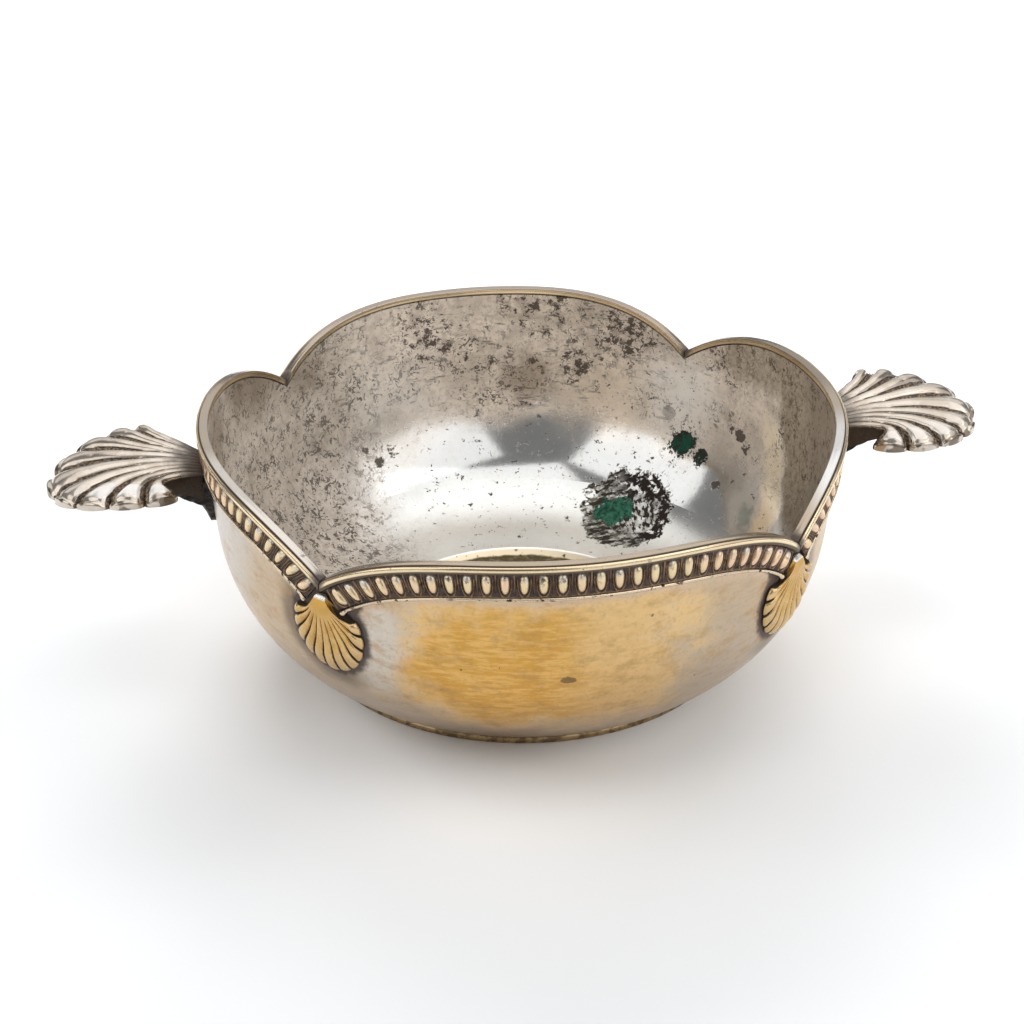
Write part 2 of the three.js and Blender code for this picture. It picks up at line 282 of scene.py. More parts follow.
def skin(node, material, rings, masks=None, name=None, closed=False, sharp=38):
    """One closed piece in a node's place: a skin over rings of points, each a loop. It is capped unless
    it closes on itself, and carries masks for its material."""
    rows, columns = rings.shape[:2]
    faces = grid_faces(rows, columns, closed)
    if not closed:
        faces.append(list(range(columns)))
        faces.append(list(range((rows - 1) * columns, rows * columns)))
    name = name or f"{node}_visual"
    mesh = bpy.data.meshes.new(name)
    mesh.from_pydata((rings.reshape(-1, 3) * MM).tolist(), [], faces)
    for mask, values in (masks or {}).items():
        layer = mesh.attributes.new(mask, "FLOAT", "POINT")
        spread = np.broadcast_to(values, (rows, columns)).astype(np.float32)
        layer.data.foreach_set("value", np.ascontiguousarray(spread).ravel())
    shell = bmesh.new()
    shell.from_mesh(mesh)
    bmesh.ops.recalc_face_normals(shell, faces=shell.faces)
    shell.to_mesh(mesh)
    shell.free()
    mesh.shade_smooth()
    mesh.set_sharp_from_angle(angle=math.radians(sharp))
    mesh.materials.append(material)
    piece = add_object(name, mesh)
    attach(piece, "root")
    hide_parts(node)
    return piece


def joined(*parts):
    """Sets arrays side by side, each spread over the rows of the longest."""
    rows = max(len(part) for part in parts)
    return np.concatenate([np.broadcast_to(part, (rows, part.shape[1])) for part in parts], axis=1)


def arc_points(centre, radius, first, last, count):
    turn = np.radians(np.linspace(first, last, count))
    return [[centre[0] + radius[0] * math.cos(a), centre[1] + radius[1] * math.sin(a)] for a in turn]


def whole_turn():
    return np.linspace(0, 2 * math.pi, ROUND_STEPS, endpoint=False)[None, :]


# Bowl and foot

ROUND_STEPS = 360
BELLY_STEPS = 50
WALL_STEPS = 40
WELL_STEPS = 14
FLOOR_BLEND = 9.0
BROAD_DENTS = 0.022
FINE_DENTS = 0.006
FOOT_BEVEL = 0.15
SHELL_GRIME = 0.2
# The worn gilding on each lobe: its middle along and up the wall, and how far it reaches
GILT_MIDDLE = (-6, 25)
GILT_REACH = (36, 19.5)


def belly_line(inset, floor):
    radius = BELLY_RADIUS - inset
    first = math.asin((BELLY_Z - floor) / radius)
    angle = np.linspace(first, math.atan(LEAN), BELLY_STEPS)
    return np.stack([BELLY_X + radius * np.cos(angle), BELLY_Z - radius * np.sin(angle)], axis=-1)


def dish_line(floor):
    """The belly's inside run on into the floor by a long curve, so that no crease shows between them."""
    belly = belly_line(SHEET, floor)
    reach = np.hypot(*(belly - belly[0]).T)
    tangent = belly[np.argmin(np.abs(reach - FLOOR_BLEND))]
    flat = np.array([belly[0, 0] - FLOOR_BLEND, floor])
    share = np.linspace(0, 1, 24)[1:, None]
    curve = blend_line(flat, belly[0], tangent, share)
    return np.concatenate([curve, belly[reach > FLOOR_BLEND * 1.03]])


def well_line(floor):
    """The floor from near the axis out over the well's rounded step."""
    share = np.linspace(0, 1, WELL_STEPS)
    step = np.stack([
        WELL_RADIUS - WELL_SLOPE + WELL_SLOPE * share,
        floor - WELL_DEPTH * (1 - smooth(share, 0, 1)),
    ], axis=-1)
    inner = np.linspace(0.6, WELL_RADIUS - WELL_SLOPE, 18)[:-1]
    flat = np.stack([inner, np.full(len(inner), floor - WELL_DEPTH)], axis=-1)
    return np.concatenate([flat, step])


def wall_line(inset):
    height = np.linspace(BELLY_TOP, WALL_TOP, WALL_STEPS)[1:]
    return np.stack([profile_radius(height) - inset, height], axis=-1)


def dents(angle, height):
    """Slight hand-made unevenness of the sheet, the same on both faces."""
    x = np.cos(angle)
    y = np.sin(angle)
    broad = waves(11, 14, 3.2 * x, 3.2 * y, height / 11)
    fine = waves(12, 16, 11 * x, 11 * y, height / 4)
    return (BROAD_DENTS * broad + FINE_DENTS * fine) * smooth(height, 4, 14)


def make_bowl():
    outside = np.concatenate([well_line(BOTTOM), belly_line(0, BOTTOM), wall_line(0)])
    floor = BOTTOM + SHEET
    inside = np.concatenate([well_line(floor), dish_line(floor), wall_line(SHEET)])
    profile = np.concatenate([outside, inside[::-1]])
    angle = whole_turn()
    height = profile[:, 1:2]
    radius = np.maximum(profile[:, :1] - pinch(height, angle) + dents(angle, height), 0)
    rings = round_axis(angle, radius, height - stretch(height, angle))
    bowl = skin("bowl_body", outside_metal(), rings, body_masks(rings), "bowl_visual")
    bowl.data.materials.append(inside_metal())
    finish = np.zeros(len(bowl.data.polygons), np.int32)
    finish[(len(outside) - 1) * ROUND_STEPS:] = 1
    outer_cap = -2
    finish[outer_cap] = 0
    bowl.data.polygons.foreach_set("material_index", finish)


def body_masks(rings):
    """For the outside: distances to the border's wire and to the corner shells, and the worn gilding,
    which is 1 in its middle and 0 at its edge."""
    angle = np.arctan2(rings[..., 1], rings[..., 0])
    height = rings[..., 2]
    share = lobe_share(angle)
    under = rim_line(share) - height - WIRE_DOWN * np.hypot(1, rim_slope(share))
    across = (1 - share) * LOBE_ARC / (CORNER_SHELL["half_width"] + SHELL_GRIME)
    down = (rim_line(1.0) - height - CORNER_SHELL["centre"]) / (CORNER_SHELL["down"] + SHELL_GRIME)
    shell_gap = (np.hypot(across, down) - 1) * CORNER_SHELL["half_width"]
    lobe = np.round(angle / (2 * LOBE_ANGLE))
    from_middle = (angle - lobe * 2 * LOBE_ANGLE) * RIM_RADIUS
    sideways = np.abs((from_middle - GILT_MIDDLE[0]) / GILT_REACH[0])
    upwards = np.abs((height - GILT_MIDDLE[1]) / GILT_REACH[1])
    worn = 1 - (sideways ** 3 + upwards ** 3) ** (1 / 3)
    return {"under_border": under, "shell_gap": shell_gap, "worn": worn}


def make_foot():
    inner = FOOT_RADIUS - FOOT_WIDTH
    half = FOOT_HEIGHT / 2
    nose = arc_points((FOOT_RADIUS - FOOT_ROUND, half), (FOOT_ROUND, half), -90, 90, 13)
    bevelled = inner + FOOT_BEVEL
    inner_side = [
        [bevelled, FOOT_HEIGHT], [inner, FOOT_HEIGHT - FOOT_BEVEL], [inner, FOOT_BEVEL], [bevelled, 0],
    ]
    profile = np.array(nose + inner_side)
    angle = whole_turn()
    wear = np.abs(0.03 * waves(21, 10, 4 * np.cos(angle), 4 * np.sin(angle)))
    rings = round_axis(angle, profile[:, :1] - wear, profile[:, 1:2])
    skin("foot_ring", foot_metal(), rings, name="foot_visual", closed=True)


# Border

SWEEP_STEPS = 200
WIRE_STEPS = 320
BEAD_HALF = 0.5
BEAD_TOP = 0.16
GROOVE_OUT = 0.93


def band_section():
    """The rim's moulding, as points outwards from the wall and down from the rim."""
    outer = RIM_RADIUS - WALL_RADIUS
    inner = outer - BAND_WIDTH
    bead_middle = outer - BEAD_HALF
    groove = bead_middle - 0.12
    corner = 0.22
    section = [[SEAT, BAND_LIP], [inner, BAND_LIP]]
    section += arc_points((inner + corner, corner), (corner, corner), 180, 270, 5)
    section += [[inner + 0.5, 0.03], [inner + 0.62, 0.0], [inner + 1.2, 0.0], [groove - 0.28, 0.02]]
    section += arc_points((groove - 0.2, 0.12), (0.12, 0.1), 270, 360, 4)
    section += [[groove, 0.34]]
    middle = (BEAD_TOP + BAND_HEIGHT) / 2
    section += arc_points((bead_middle, middle), (BEAD_HALF, BAND_HEIGHT - middle), -72, 88, 15)
    section += [[groove - 0.1, BAND_HEIGHT], [SEAT, BAND_HEIGHT]]
    return np.array(section)


def make_rim_moulding(side, middle, material):
    out, down = band_section().T[:, None, :]
    place = np.linspace(-LOBE_END, LOBE_END, SWEEP_STEPS)[:, None]
    wear = np.abs(0.018 * waves(30 + int(round(middle)), 12, place * 16, place * 5))
    rings = upright_point(middle, place, down + wear, out - wear)
    groove = smooth(bell(out, GROOVE_OUT, 0.16) * (down < 0.5), 0, 1)
    masks = {"groove": groove, "down": down, "end": (1 - np.abs(place)) * LOBE_ARC}
    skin(f"rim_moulding_{side}", material, rings, masks, sharp=50)


COLUMNS_PER_EGG = 28
EGG_ROWS = 46
STRIP_FACE = SEAT + 0.18
EGG_HALF = 0.86
EGG_TALL = 1.84
UNEVEN_EGGS = 0.05
EXTRA_LEAN = 0.55
# Heights of the eggs, of their frames and darts, of the fine lines beside them and of both edges
EGG_RELIEF = 0.76
FRAME_RELIEF = 0.42
STRIA_RELIEF = 0.2
EDGE_RELIEF = 0.25


def egg_relief(across, down, size):
    """Height of the rolled pattern, across from an egg's middle and down the strip, and how much is egg."""
    half = EGG_HALF * size
    from_middle = (down - EGG_TALL - 0.06) / EGG_TALL
    widen = 1 - 0.1 * from_middle
    ring = (np.abs(across / half / widen) ** 2.2 + np.abs(from_middle) ** 2.5) ** (1 / 2.3)
    egg = EGG_RELIEF * dome(ring, 2.2)
    apart = (ring - 1) * half * 1.15
    frame = FRAME_RELIEF * bell(apart, 0.3, 0.12) * smooth(down, 0.35, 1.1)
    from_dart = np.abs(np.abs(across) - EGG_SPACING / 2)
    taper = 1 - 0.75 * smooth(down, 0.6, 3.9)
    dart = FRAME_RELIEF * bell(from_dart, 0, 0.13 * taper + 0.03) * smooth(4.1 - down, 0.1, 0.5)
    stria = STRIA_RELIEF * bell(from_dart, 0.27 * taper + 0.05, 0.07) * smooth(3.6 - down, 0.1, 0.7)
    edge = EDGE_RELIEF * (bell(down, 0, 0.1) + bell(down, STRIP_HEIGHT, 0.14))
    relief = egg
    for other in (frame, dart, stria, edge):
        relief = np.maximum(relief, other)
    return relief, smooth(ring, 1.0, 0.93)


def make_egg_border(side, middle, material):
    columns = EGGS * COLUMNS_PER_EGG
    count = (np.arange(columns + 1) / COLUMNS_PER_EGG)[:, None]
    down = np.linspace(0, STRIP_HEIGHT, EGG_ROWS)[None, :]
    place = (2 * count / EGGS - 1) * LOBE_END
    lean = EXTRA_LEAN * rim_slope(place) * smooth(1 - np.abs(place), 0.0, 0.06)
    leaning = np.clip(count - lean * (down - STRIP_HEIGHT / 2) / EGG_SPACING, 0, EGGS)
    egg = np.minimum(np.floor(leaning), EGGS - 1).astype(int)
    rng = np.random.default_rng(40 + int(round(middle)))
    size = (1 + rng.uniform(-UNEVEN_EGGS, UNEVEN_EGGS, EGGS))[egg]
    shift = rng.uniform(-UNEVEN_EGGS, UNEVEN_EGGS, EGGS)[egg]
    relief, domes = egg_relief((leaning - egg - 0.5) * EGG_SPACING + shift, down, size)
    ground = np.abs(0.04 * waves(50 + int(round(middle)), 20, count * 9, down * 7)) * (relief < 0.2)
    front = square_point(middle, place, down + STRIP_TOP, STRIP_FACE + relief + ground)
    back_down = np.array([[STRIP_HEIGHT, 0]])
    back = square_point(middle, place, back_down + STRIP_TOP + 0 * place, SEAT)
    rings = np.concatenate([front, back], axis=1)
    plain = np.zeros((1, 2))
    masks = {"relief": joined(relief, plain), "egg": joined(domes, plain), "down": joined(down, back_down)}
    skin(f"egg_border_{side}", material, rings, masks, sharp=80)


def make_lower_wire(side, middle, material):
    place = np.linspace(-LOBE_END, LOBE_END, WIRE_STEPS)[:, None]
    turn = np.linspace(0, 2 * math.pi, 14, endpoint=False)[None, :]
    seed = 60 + int(round(middle))
    nicks = smooth(waves(seed, 14, place * 40), 1.0, 1.6)
    end = bell(1 - np.abs(place), 0.012, 0.012)
    radius = WIRE_RADIUS * (0.97 - 0.22 * nicks + 0.5 * end) + 0.012 * waves(seed + 5, 9, place * 30)
    wander = 0.03 * waves(seed + 9, 8, place * 18)
    out = SEAT + WIRE_RADIUS + radius * np.cos(turn) + 0.12 * end
    down = WIRE_DOWN + wander + 0.14 * end - radius * np.sin(turn)
    rings = square_point(middle, place, down, out)
    skin(f"lower_wire_{side}", material, rings, {"nick": nicks})


# Shells

FLANK_SWELL = 7.0
FAN_DRAWN_IN = 0.11


def scallop_point(shell, across, along, full=0.0, narrow=0.0):
    """Flat coordinates of a shell's point, with where it lies in its rib and its angle in the fan.
    Full swells its flanks, and narrow draws in the ends of its fan."""
    bend = np.sign(across) * np.abs(across) ** shell["evenness"]
    angle = math.radians(shell["fan"]) * bend * (1 - FAN_DRAWN_IN * narrow)
    part = (across + 1) / 2 * shell["ribs"]
    side = 2 * (part - np.floor(part + 1e-6)) - 1
    cut = 1 - shell["notch"] * (1 - dome(side)) / shell["half_width"]
    tuck = 1 + shell["tuck"] * np.minimum(0, np.cos(angle))
    edge_x = shell["centre"] + shell["down"] * cut * np.cos(angle)
    edge_y = shell["half_width"] * cut * np.sin(angle) * tuck
    pull_x = shell["start"] + shell["reach"]
    pull_y = across * (shell["neck_half"] + shell["spread"] + FLANK_SWELL * full)
    x = blend_line(shell["start"], pull_x, edge_x, along)
    y = blend_line(across * shell["neck_half"], pull_y, edge_y, along)
    return x, y, side, angle


def across_steps(ribs, per_rib):
    """Places across a shell, closest together at the grooves between its ribs."""
    share = (1 - np.cos(math.pi * np.arange(per_rib) / per_rib)) / 2
    places = (np.arange(ribs)[:, None] + share[None, :]).ravel()
    return np.append(places, ribs)[:, None] / ribs * 2 - 1


def corner_shell_height(side, along):
    """Height of a corner shell's ribs, umbo and rolled lip over the wall, and how much is groove."""
    grooved = smooth(along, 0.34, 0.52)
    rib = dome(side, 2.6)
    inside = 1 - np.abs(side)
    body = 1.15 - 0.35 * along ** 2
    curl = 0.28 * bell(along, 0.86, 0.09) * rib
    relief = (0.62 * (rib - 1) - 0.12 * bell(inside, 0, 0.16)) * grooved
    fall = dome(np.clip((along - 0.9) / 0.1, 0, 1))
    top_edge = smooth(along, 0, 0.05)
    height = (body + curl + relief) * (0.3 + 0.7 * fall) * (0.55 + 0.45 * top_edge)
    deep = bell(inside, 0, 0.12 + 0.1 * smooth(along, 0.6, 0.95))
    shallow = 0.75 * bell(inside, 0.36, 0.06) * (along < 0.8)
    return np.maximum(height, 0.12), np.maximum(deep, shallow) * grooved


def make_corner_shell(corner, turn, material):
    across = across_steps(CORNER_SHELL["ribs"], 16)
    along = np.linspace(0, 1, 56)[None, :]
    back_along = np.array([[1.0, 0.66, 0.33, 0.0]])
    x, y, side, _ = scallop_point(CORNER_SHELL, across, joined(along, back_along))
    height, groove = corner_shell_height(side, along)
    back = np.zeros((1, back_along.size))
    angle = turn * LOBE_ANGLE + y / RIM_RADIUS
    rings = wall_point(angle, rim_line(1.0) - x, SEAT + joined(height, back))
    masks = {"groove": joined(groove, back + 1), "along": joined(along, back_along)}
    skin(f"corner_shell_{corner}", material, rings, masks, sharp=75)


HANDLE_ROWS = 110
CURL_FROM = 0.77
CURL_END = 0.972
BAND_TALL = 1.9
NECK_FLESH = 2.2
LIP_SWELL = 0.6
RIB_RELIEF = 1.15
# The lip's edge, from its top down: how far along each row lies, and its share of the height
EDGE_ALONG = (0.978, 0.99, 1.0, 1.0, 1.0, 0.99, 0.975)
EDGE_SHARE = (0.97, 0.98, 0.86, 0.5, 0.16, 0.03, 0.0)


def handle_lie(side, facing, across, along):
    """Where points of a handle's shell lie in plan and in their rib, and how far they hang."""
    bend = BENT[side]
    front = across * facing > 0
    full = np.where(front, 1.0, 0.8) * across ** 2
    narrow = np.where(front, 1.0, 0.0) * across ** 2
    x, y, rib_side, angle = scallop_point(HANDLE_SHELL, across, along, full, narrow)
    towards_tip = np.cos(angle)
    hang = bend["droop"] * np.maximum(0, towards_tip) ** 2 - SIDE_HANG * np.minimum(0, towards_tip)
    lift = along * (bend["rise"] + bend["lift"] * y / HANDLE_SHELL["half_width"])
    return x, y, rib_side, hang * along ** 2 - lift


def handle_crest(along):
    return blend_line(NECK_TOP, SHELL_CROWN, SHELL_EDGE_TOP, along)


def handle_thickness(along):
    return blend_line(NECK_THICKNESS + NECK_FLESH, SHELL_THICKNESS, SHELL_THICKNESS, along)


def handle_profile(side, along):
    """Height of the ribs and channels under the crest, from 0 to -1, and how much is channel."""
    gap = 0.12 + 0.24 * smooth(along, 0.1, 0.55) - 0.12 * smooth(along, 0.8, 1.0)
    inside = 1 - np.abs(side)
    share = np.clip(np.abs(side) / (1 - gap), 0, 1)
    rib = dome(share, 2.3) - 1
    ridge = 0.3 * bell(inside, 0.42 * gap, 0.16 * gap) * smooth(along, 0.1, 0.3)
    channel = smooth(gap - inside, -0.02, 0.03)
    return rib + ridge * channel, channel * (1 - ridge)


def handle_top(along, rib_side, sag):
    """Height of the upper face, with its ribs and its lip rolled over, and how much is channel."""
    rolled = np.clip((along - CURL_FROM) / (CURL_END - CURL_FROM), 0, 1)
    crease = SHELL_EDGE_TOP - SHELL_THICKNESS + BAND_TALL
    shoulder = handle_crest(CURL_FROM) + LIP_SWELL
    curl = crease + (shoulder - crease) * dome(rolled)
    swollen = handle_crest(along) + LIP_SWELL * smooth(along, 0.45, CURL_FROM)
    crest = np.where(along > CURL_FROM, curl, swollen) - sag
    relief, channel = handle_profile(rib_side, along)
    lowest = crest - handle_thickness(along) + 0.45 - 0.3 * rolled
    return np.maximum(crest + RIB_RELIEF * along ** 0.6 * relief, lowest), channel


def handle_under(along, rib_side, sag):
    hollow = 0.35 * bell(np.abs(rib_side), 0, 0.6) * smooth(along, 0.3, 0.6)
    return handle_crest(along) - handle_thickness(along) - sag + hollow


def make_handle(side, facing, material, dark):
    across = across_steps(HANDLE_SHELL["ribs"], 26)
    along = (0.02 + 0.98 * np.linspace(0, 1, HANDLE_ROWS)[None, :]) ** 0.9 * CURL_END
    x, y, rib_side, sag = handle_lie(side, facing, across, along)
    top, channel = handle_top(along, rib_side, sag)

    edge_along = np.array([EDGE_ALONG])
    edge_x, edge_y, edge_side, edge_sag = handle_lie(side, facing, across, edge_along)
    base = SHELL_EDGE_TOP - SHELL_THICKNESS - edge_sag
    edge = base + np.maximum(top[:, -1:] - base, 0.3) * np.array([EDGE_SHARE])

    under_along = np.linspace(0.95, along.min(), 24)[None, :]
    under_x, under_y, under_side, under_sag = handle_lie(side, facing, across, under_along)
    under = handle_under(under_along, under_side, under_sag)

    flat_x = joined(x, edge_x, under_x) * facing
    flat_y = joined(y, edge_y, under_y) * facing
    rings = np.stack([flat_x, flat_y, joined(top, edge, under)], axis=-1)
    blank, rim, below = (np.zeros((1, part.size)) for part in (along, edge_along, under_along))
    flank = smooth(np.abs(across), 0.985, 1.0)
    masks = {
        "channel": joined(channel, smooth(np.abs(edge_side), 0.8, 1.0) + rim, below + 0.5),
        "along": joined(along, edge_along, under_along),
        "lip": joined(blank, rim + 1, below),
        "under": joined(flank + blank, flank + rim, below + 1),
    }
    node = f"handle_{side}"
    skin(node, material, rings, masks, f"{node}_shell_visual", sharp=55)
    make_bracket(node, facing, dark)


def bracket_outline(share):
    """The bracket's outer line from under the shell down to its tip on the wall."""
    under = NECK_TOP - NECK_THICKNESS
    middle = (under + BRACKET_FOOT) / 2
    wall, foot = profile_radius(np.array([middle, BRACKET_FOOT]))
    knee = wall + BRACKET_BELLY / 2
    first = np.clip(share / BRACKET_KNEE, 0, 1)
    second = np.clip((share - BRACKET_KNEE) / (1 - BRACKET_KNEE), 0, 1)
    x = blend_line(RIM_RADIUS + BRACKET_REACH, wall + BRACKET_BELLY, knee, first)
    z = blend_line(under, under - BRACKET_DIP, middle, first)
    return x + (foot + BRACKET_TIP_HALF - knee) * second, z + (BRACKET_FOOT - middle) * second


def bracket_carving(share, side_steps):
    """Relief of the leaf on the bracket: veins that slant from a midrib."""
    veins = np.abs(np.sin(math.pi * (share * LEAF_LOBES + 0.1 - 0.5 * np.abs(side_steps))))
    midrib = bell(side_steps, 0, 0.16)
    return (0.5 * np.sqrt(veins) * (1 - midrib) + 0.45 * midrib - 0.5) * smooth(share, 0.05, 0.2)


def make_bracket(node, facing, material):
    share = np.linspace(0, 1, 60)[:, None]
    side_steps = np.linspace(-1, 1, 33)[None, :]
    x, z = bracket_outline(share)
    top = NECK_TOP - NECK_THICKNESS / 2
    rise = np.clip((z - BRACKET_FOOT) / (top - BRACKET_FOOT), 0, 1)
    half = BRACKET_TIP_HALF + (HANDLE_SHELL["neck_half"] - BRACKET_TIP_HALF) * rise ** 0.6
    half = half * (0.9 + 0.12 * np.abs(np.sin(math.pi * (share * LEAF_LOBES + 0.1))))
    carve = bracket_carving(share, side_steps)
    front_x = x - LEAF_RIDGE * side_steps ** 2 * np.minimum(1, rise * 3) + 0.55 * carve
    front_x = np.maximum(front_x, profile_radius(z) + 0.05)
    back_z = top + (BRACKET_FOOT - top) * share
    back_x = np.where(back_z > COLLAR_FOOT - SEAT, RIM_RADIUS, profile_radius(back_z)) + 0.02
    back_y = half * np.linspace(1, -1, 5)[None, :] * 0.96
    plain = 0 * back_y
    flat_x = joined(front_x, back_x + plain) * facing
    flat_y = joined(half * side_steps, back_y) * facing
    rings = np.stack([flat_x, flat_y, joined(z + 0 * side_steps, back_z + plain)], axis=-1)
    masks = {"carve": joined(carve, plain)}
    skin(node, material, rings, masks, f"{node}_bracket_visual", sharp=70)


# Materials


class Finish:
    """Builds one material from nodes. Most methods add nodes and give their output, and lay() puts a
    tint over the colour so far. Lengths are in millimetres and shares run from 0 to 1."""

    def __init__(self, name):
        self.material = bpy.data.materials.new(name)
        self.material.use_nodes = True
        self.tree = self.material.node_tree
        self.shader = self.tree.nodes["Principled BSDF"]
        self.colour = None
        coordinates = self.add("TexCoord")
        self.place = self.vector("MULTIPLY", coordinates.outputs["Object"], (1 / MM,) * 3)

    def feed(self, socket, value):
        if isinstance(value, bpy.types.NodeSocket):
            self.tree.links.new(value, socket)
        else:
            colour = isinstance(value, tuple) and len(socket.default_value) == 4
            socket.default_value = (*value, 1.0) if colour else value

    def add(self, kind, inputs=None, **settings):
        """A node of a kind, with settings and with inputs by name or number."""
        node = self.tree.nodes.new(f"ShaderNode{kind}")
        for name, value in settings.items():
            setattr(node, name, value)
        for key, value in (inputs or {}).items():
            self.feed(node.inputs[key], value)
        return node

    def vector(self, operation, first, second):
        return self.add("VectorMath", {0: first, 1: second}, operation=operation).outputs[0]

    def math(self, operation, *values):
        return self.add("Math", dict(enumerate(values)), operation=operation).outputs[0]

    def blend(self, share, first, second):
        """Mixes two colours by a share."""
        return self.add("Mix", {0: share, 6: first, 7: second}, data_type="RGBA").outputs[2]

    def level(self, share, first, second):
        """Mixes two numbers by a share."""
        return self.add("Mix", {0: share, 2: first, 3: second}, data_type="FLOAT").outputs[0]

    def lay(self, share, tint, amount=1.0):
        """Puts a tint over the colour so far, by an amount of a share."""
        if amount < 1.0:
            share = self.product(share, amount)
        self.colour = self.blend(share, self.colour, tint)

    def plus(self, first, second, times=1.0):
        """The first value and a multiple of the second."""
        return self.math("MULTIPLY_ADD", second, times, first)

    def product(self, *values):
        return functools.reduce(functools.partial(self.math, "MULTIPLY"), values)

    def most(self, *values):
        return functools.reduce(functools.partial(self.math, "MAXIMUM"), values)

    def between(self, value, low, high):
        """Eases from 0 at low to 1 at high, or down from 1 where low is the greater."""
        inputs = {"Value": value, "From Min": min(low, high), "From Max": max(low, high)}
        inputs.update({"To Min": float(low > high), "To Max": float(low < high)})
        return self.add("MapRange", inputs, interpolation_type="SMOOTHSTEP").outputs[0]

    def mask(self, name):
        return self.add("Attribute", attribute_name=name).outputs["Fac"]

    def axis(self, name):
        return self.add("SeparateXYZ", {0: self.place}).outputs[name]

    def zone(self, **ends):
        """Eases from 0 to 1 between two places along each axis that is named."""
        return self.product(*[self.between(self.axis(name), *pair) for name, pair in ends.items()])

    def drawn(self, *scale):
        """Places drawn out or squeezed along X, Y and Z."""
        return self.vector("MULTIPLY", self.place, scale)

    def warped(self, amount, scale, vector=None):
        """Places pushed about by noise, so that what is laid on them turns ragged."""
        base = vector or self.place
        node = self.noise_node(base, scale, 3.0, 0.6, 0.0)
        push = self.vector("SUBTRACT", node.outputs["Color"], (0.5, 0.5, 0.5))
        return self.vector("ADD", base, self.vector("MULTIPLY", push, (2 * amount,) * 3))

    def noise_node(self, vector, scale, detail, rough, distortion):
        inputs = {"Vector": vector, "Scale": scale, "Detail": detail, "Roughness": rough}
        return self.add("TexNoise", {**inputs, "Distortion": distortion})

    def noise(self, scale, detail=4, rough=0.6, distortion=0.0, vector=None, shift=0.0):
        moved = self.vector("ADD", vector or self.place, (shift, shift, shift))
        return self.noise_node(moved, scale, detail, rough, distortion).outputs["Fac"]

    def cloud(self, low, high, *noise, **more):
        """A noise, eased from 0 to 1 between two of its values."""
        return self.between(self.noise(*noise, **more), low, high)

    def dots(self, apart, largest, share, vector):
        """Dots up to a largest radius, one in each cell of a size for a share of the cells."""
        cells = self.add("TexVoronoi", {"Scale": 1 / apart, "Vector": vector})
        chance = self.add("SeparateColor", {0: cells.outputs["Color"]}).outputs[0]
        slope = largest / apart / share
        radius = self.math("MULTIPLY_ADD", chance, slope, (share - 1) * slope)
        inside = self.math("SUBTRACT", radius, cells.outputs["Distance"])
        return self.between(inside, 0.0, 0.12 * largest / apart)

    def lines(self, scale, width, shift, distortion=0.8):
        """Winding lines of uneven width, where a noise passes its middle value."""
        field = self.noise(scale, 2.5, 0.5, distortion, shift=shift)
        apart = self.math("ABSOLUTE", self.math("SUBTRACT", field, 0.5))
        wide = self.cloud(0.44, 0.66, scale * 0.8, 3, 0.6, shift=shift + 40)
        return self.between(self.plus(apart, wide, -width), 0.0, -0.45 * width)

    def near(self, point, radius, vector=None, squeeze=(1, 1, 1), edge=0.25):
        """1 within a radius of a point, 0 past its soft edge."""
        apart = self.vector("SUBTRACT", vector or self.place, point)
        apart = self.vector("MULTIPLY", apart, squeeze)
        away = self.add("VectorMath", {0: apart}, operation="LENGTH").outputs["Value"]
        return self.between(away, radius, radius * (1 - edge))

    def patches(self, table, vector=None, edge=0.25):
        """The most that any soft patch of a table covers. A row gives a centre, a radius and an amount."""
        shares = []
        for point, radius, amount in table:
            shares.append(self.product(self.near(point, radius, vector, edge=edge), amount))
        return self.most(*shares)

    def bump(self, height, distance):
        node = self.add("Bump", {"Height": height, "Distance": distance * MM})
        self.feed(self.shader.inputs["Normal"], node.outputs["Normal"])

    def set(self, metal, rough, gloss=0.5):
        """Gives the shader its colour, metal, roughness and gloss."""
        names = ("Base Color", "Metallic", "Roughness", "Specular IOR Level")
        for name, value in zip(names, (self.colour, metal, rough, gloss)):
            self.feed(self.shader.inputs[name], value)
        return self.material


# Linear colours of the metals and of what lies on them
SILVER = (0.64, 0.64, 0.63)
DULL_SILVER = (0.69, 0.62, 0.545)
WORN_SILVER = (0.88, 0.78, 0.675)
FLOOR_SILVER = (0.86, 0.86, 0.83)
OLD_SILVER = (0.72, 0.67, 0.60)
LEFT_SILVER = (0.56, 0.54, 0.515)
HINGE_SILVER_AND_HIGHLIGHT = (0.78, 0.75, 0.70)
PAINTED_HIGHLIGHT_SILVER = (0.95, 0.92, 0.88)
PAINTED_HIGHLIGHT_WHITE = (1.0, 0.95, 0.88)
STRIP_CREAM = (1.0, 0.87, 0.67)
CREAM = (0.98, 0.85, 0.69)
STEP_HIGHLIGHT_GOLD = (0.74, 0.62, 0.44)
PALE_BRASS = (0.57, 0.465, 0.355)
WARM_BRASS = (0.61, 0.47, 0.32)
BRUSHED_BRASS = (0.51, 0.40, 0.28)
PALE_GOLD = (0.76, 0.60, 0.38)
BEAD_GOLD = (0.82, 0.66, 0.43)
WORN_GOLD = (0.82, 0.59, 0.31)
BRIGHT_GOLD = (0.80, 0.495, 0.165)
DEEP_GOLD = (0.67, 0.37, 0.085)
UMBO_GOLD = (0.60, 0.35, 0.09)
WORN_GILT = (0.62, 0.47, 0.24)
DULL_GILT = (0.36, 0.27, 0.13)
BORDER_TAN = (0.67, 0.51, 0.36)
MOTTLING = (0.45, 0.385, 0.32)
RUST = (0.47, 0.275, 0.11)
GRIT = (0.42, 0.27, 0.13)
LOW_BROWN = (0.42, 0.295, 0.175)
BROWN_HAZE = (0.32, 0.25, 0.19)
SMUDGE = (0.22, 0.17, 0.135)
SHADED_BROWN = (0.18, 0.13, 0.09)
BROWN_FILM = (0.115, 0.098, 0.062)
DIRT = (0.12, 0.08, 0.04)
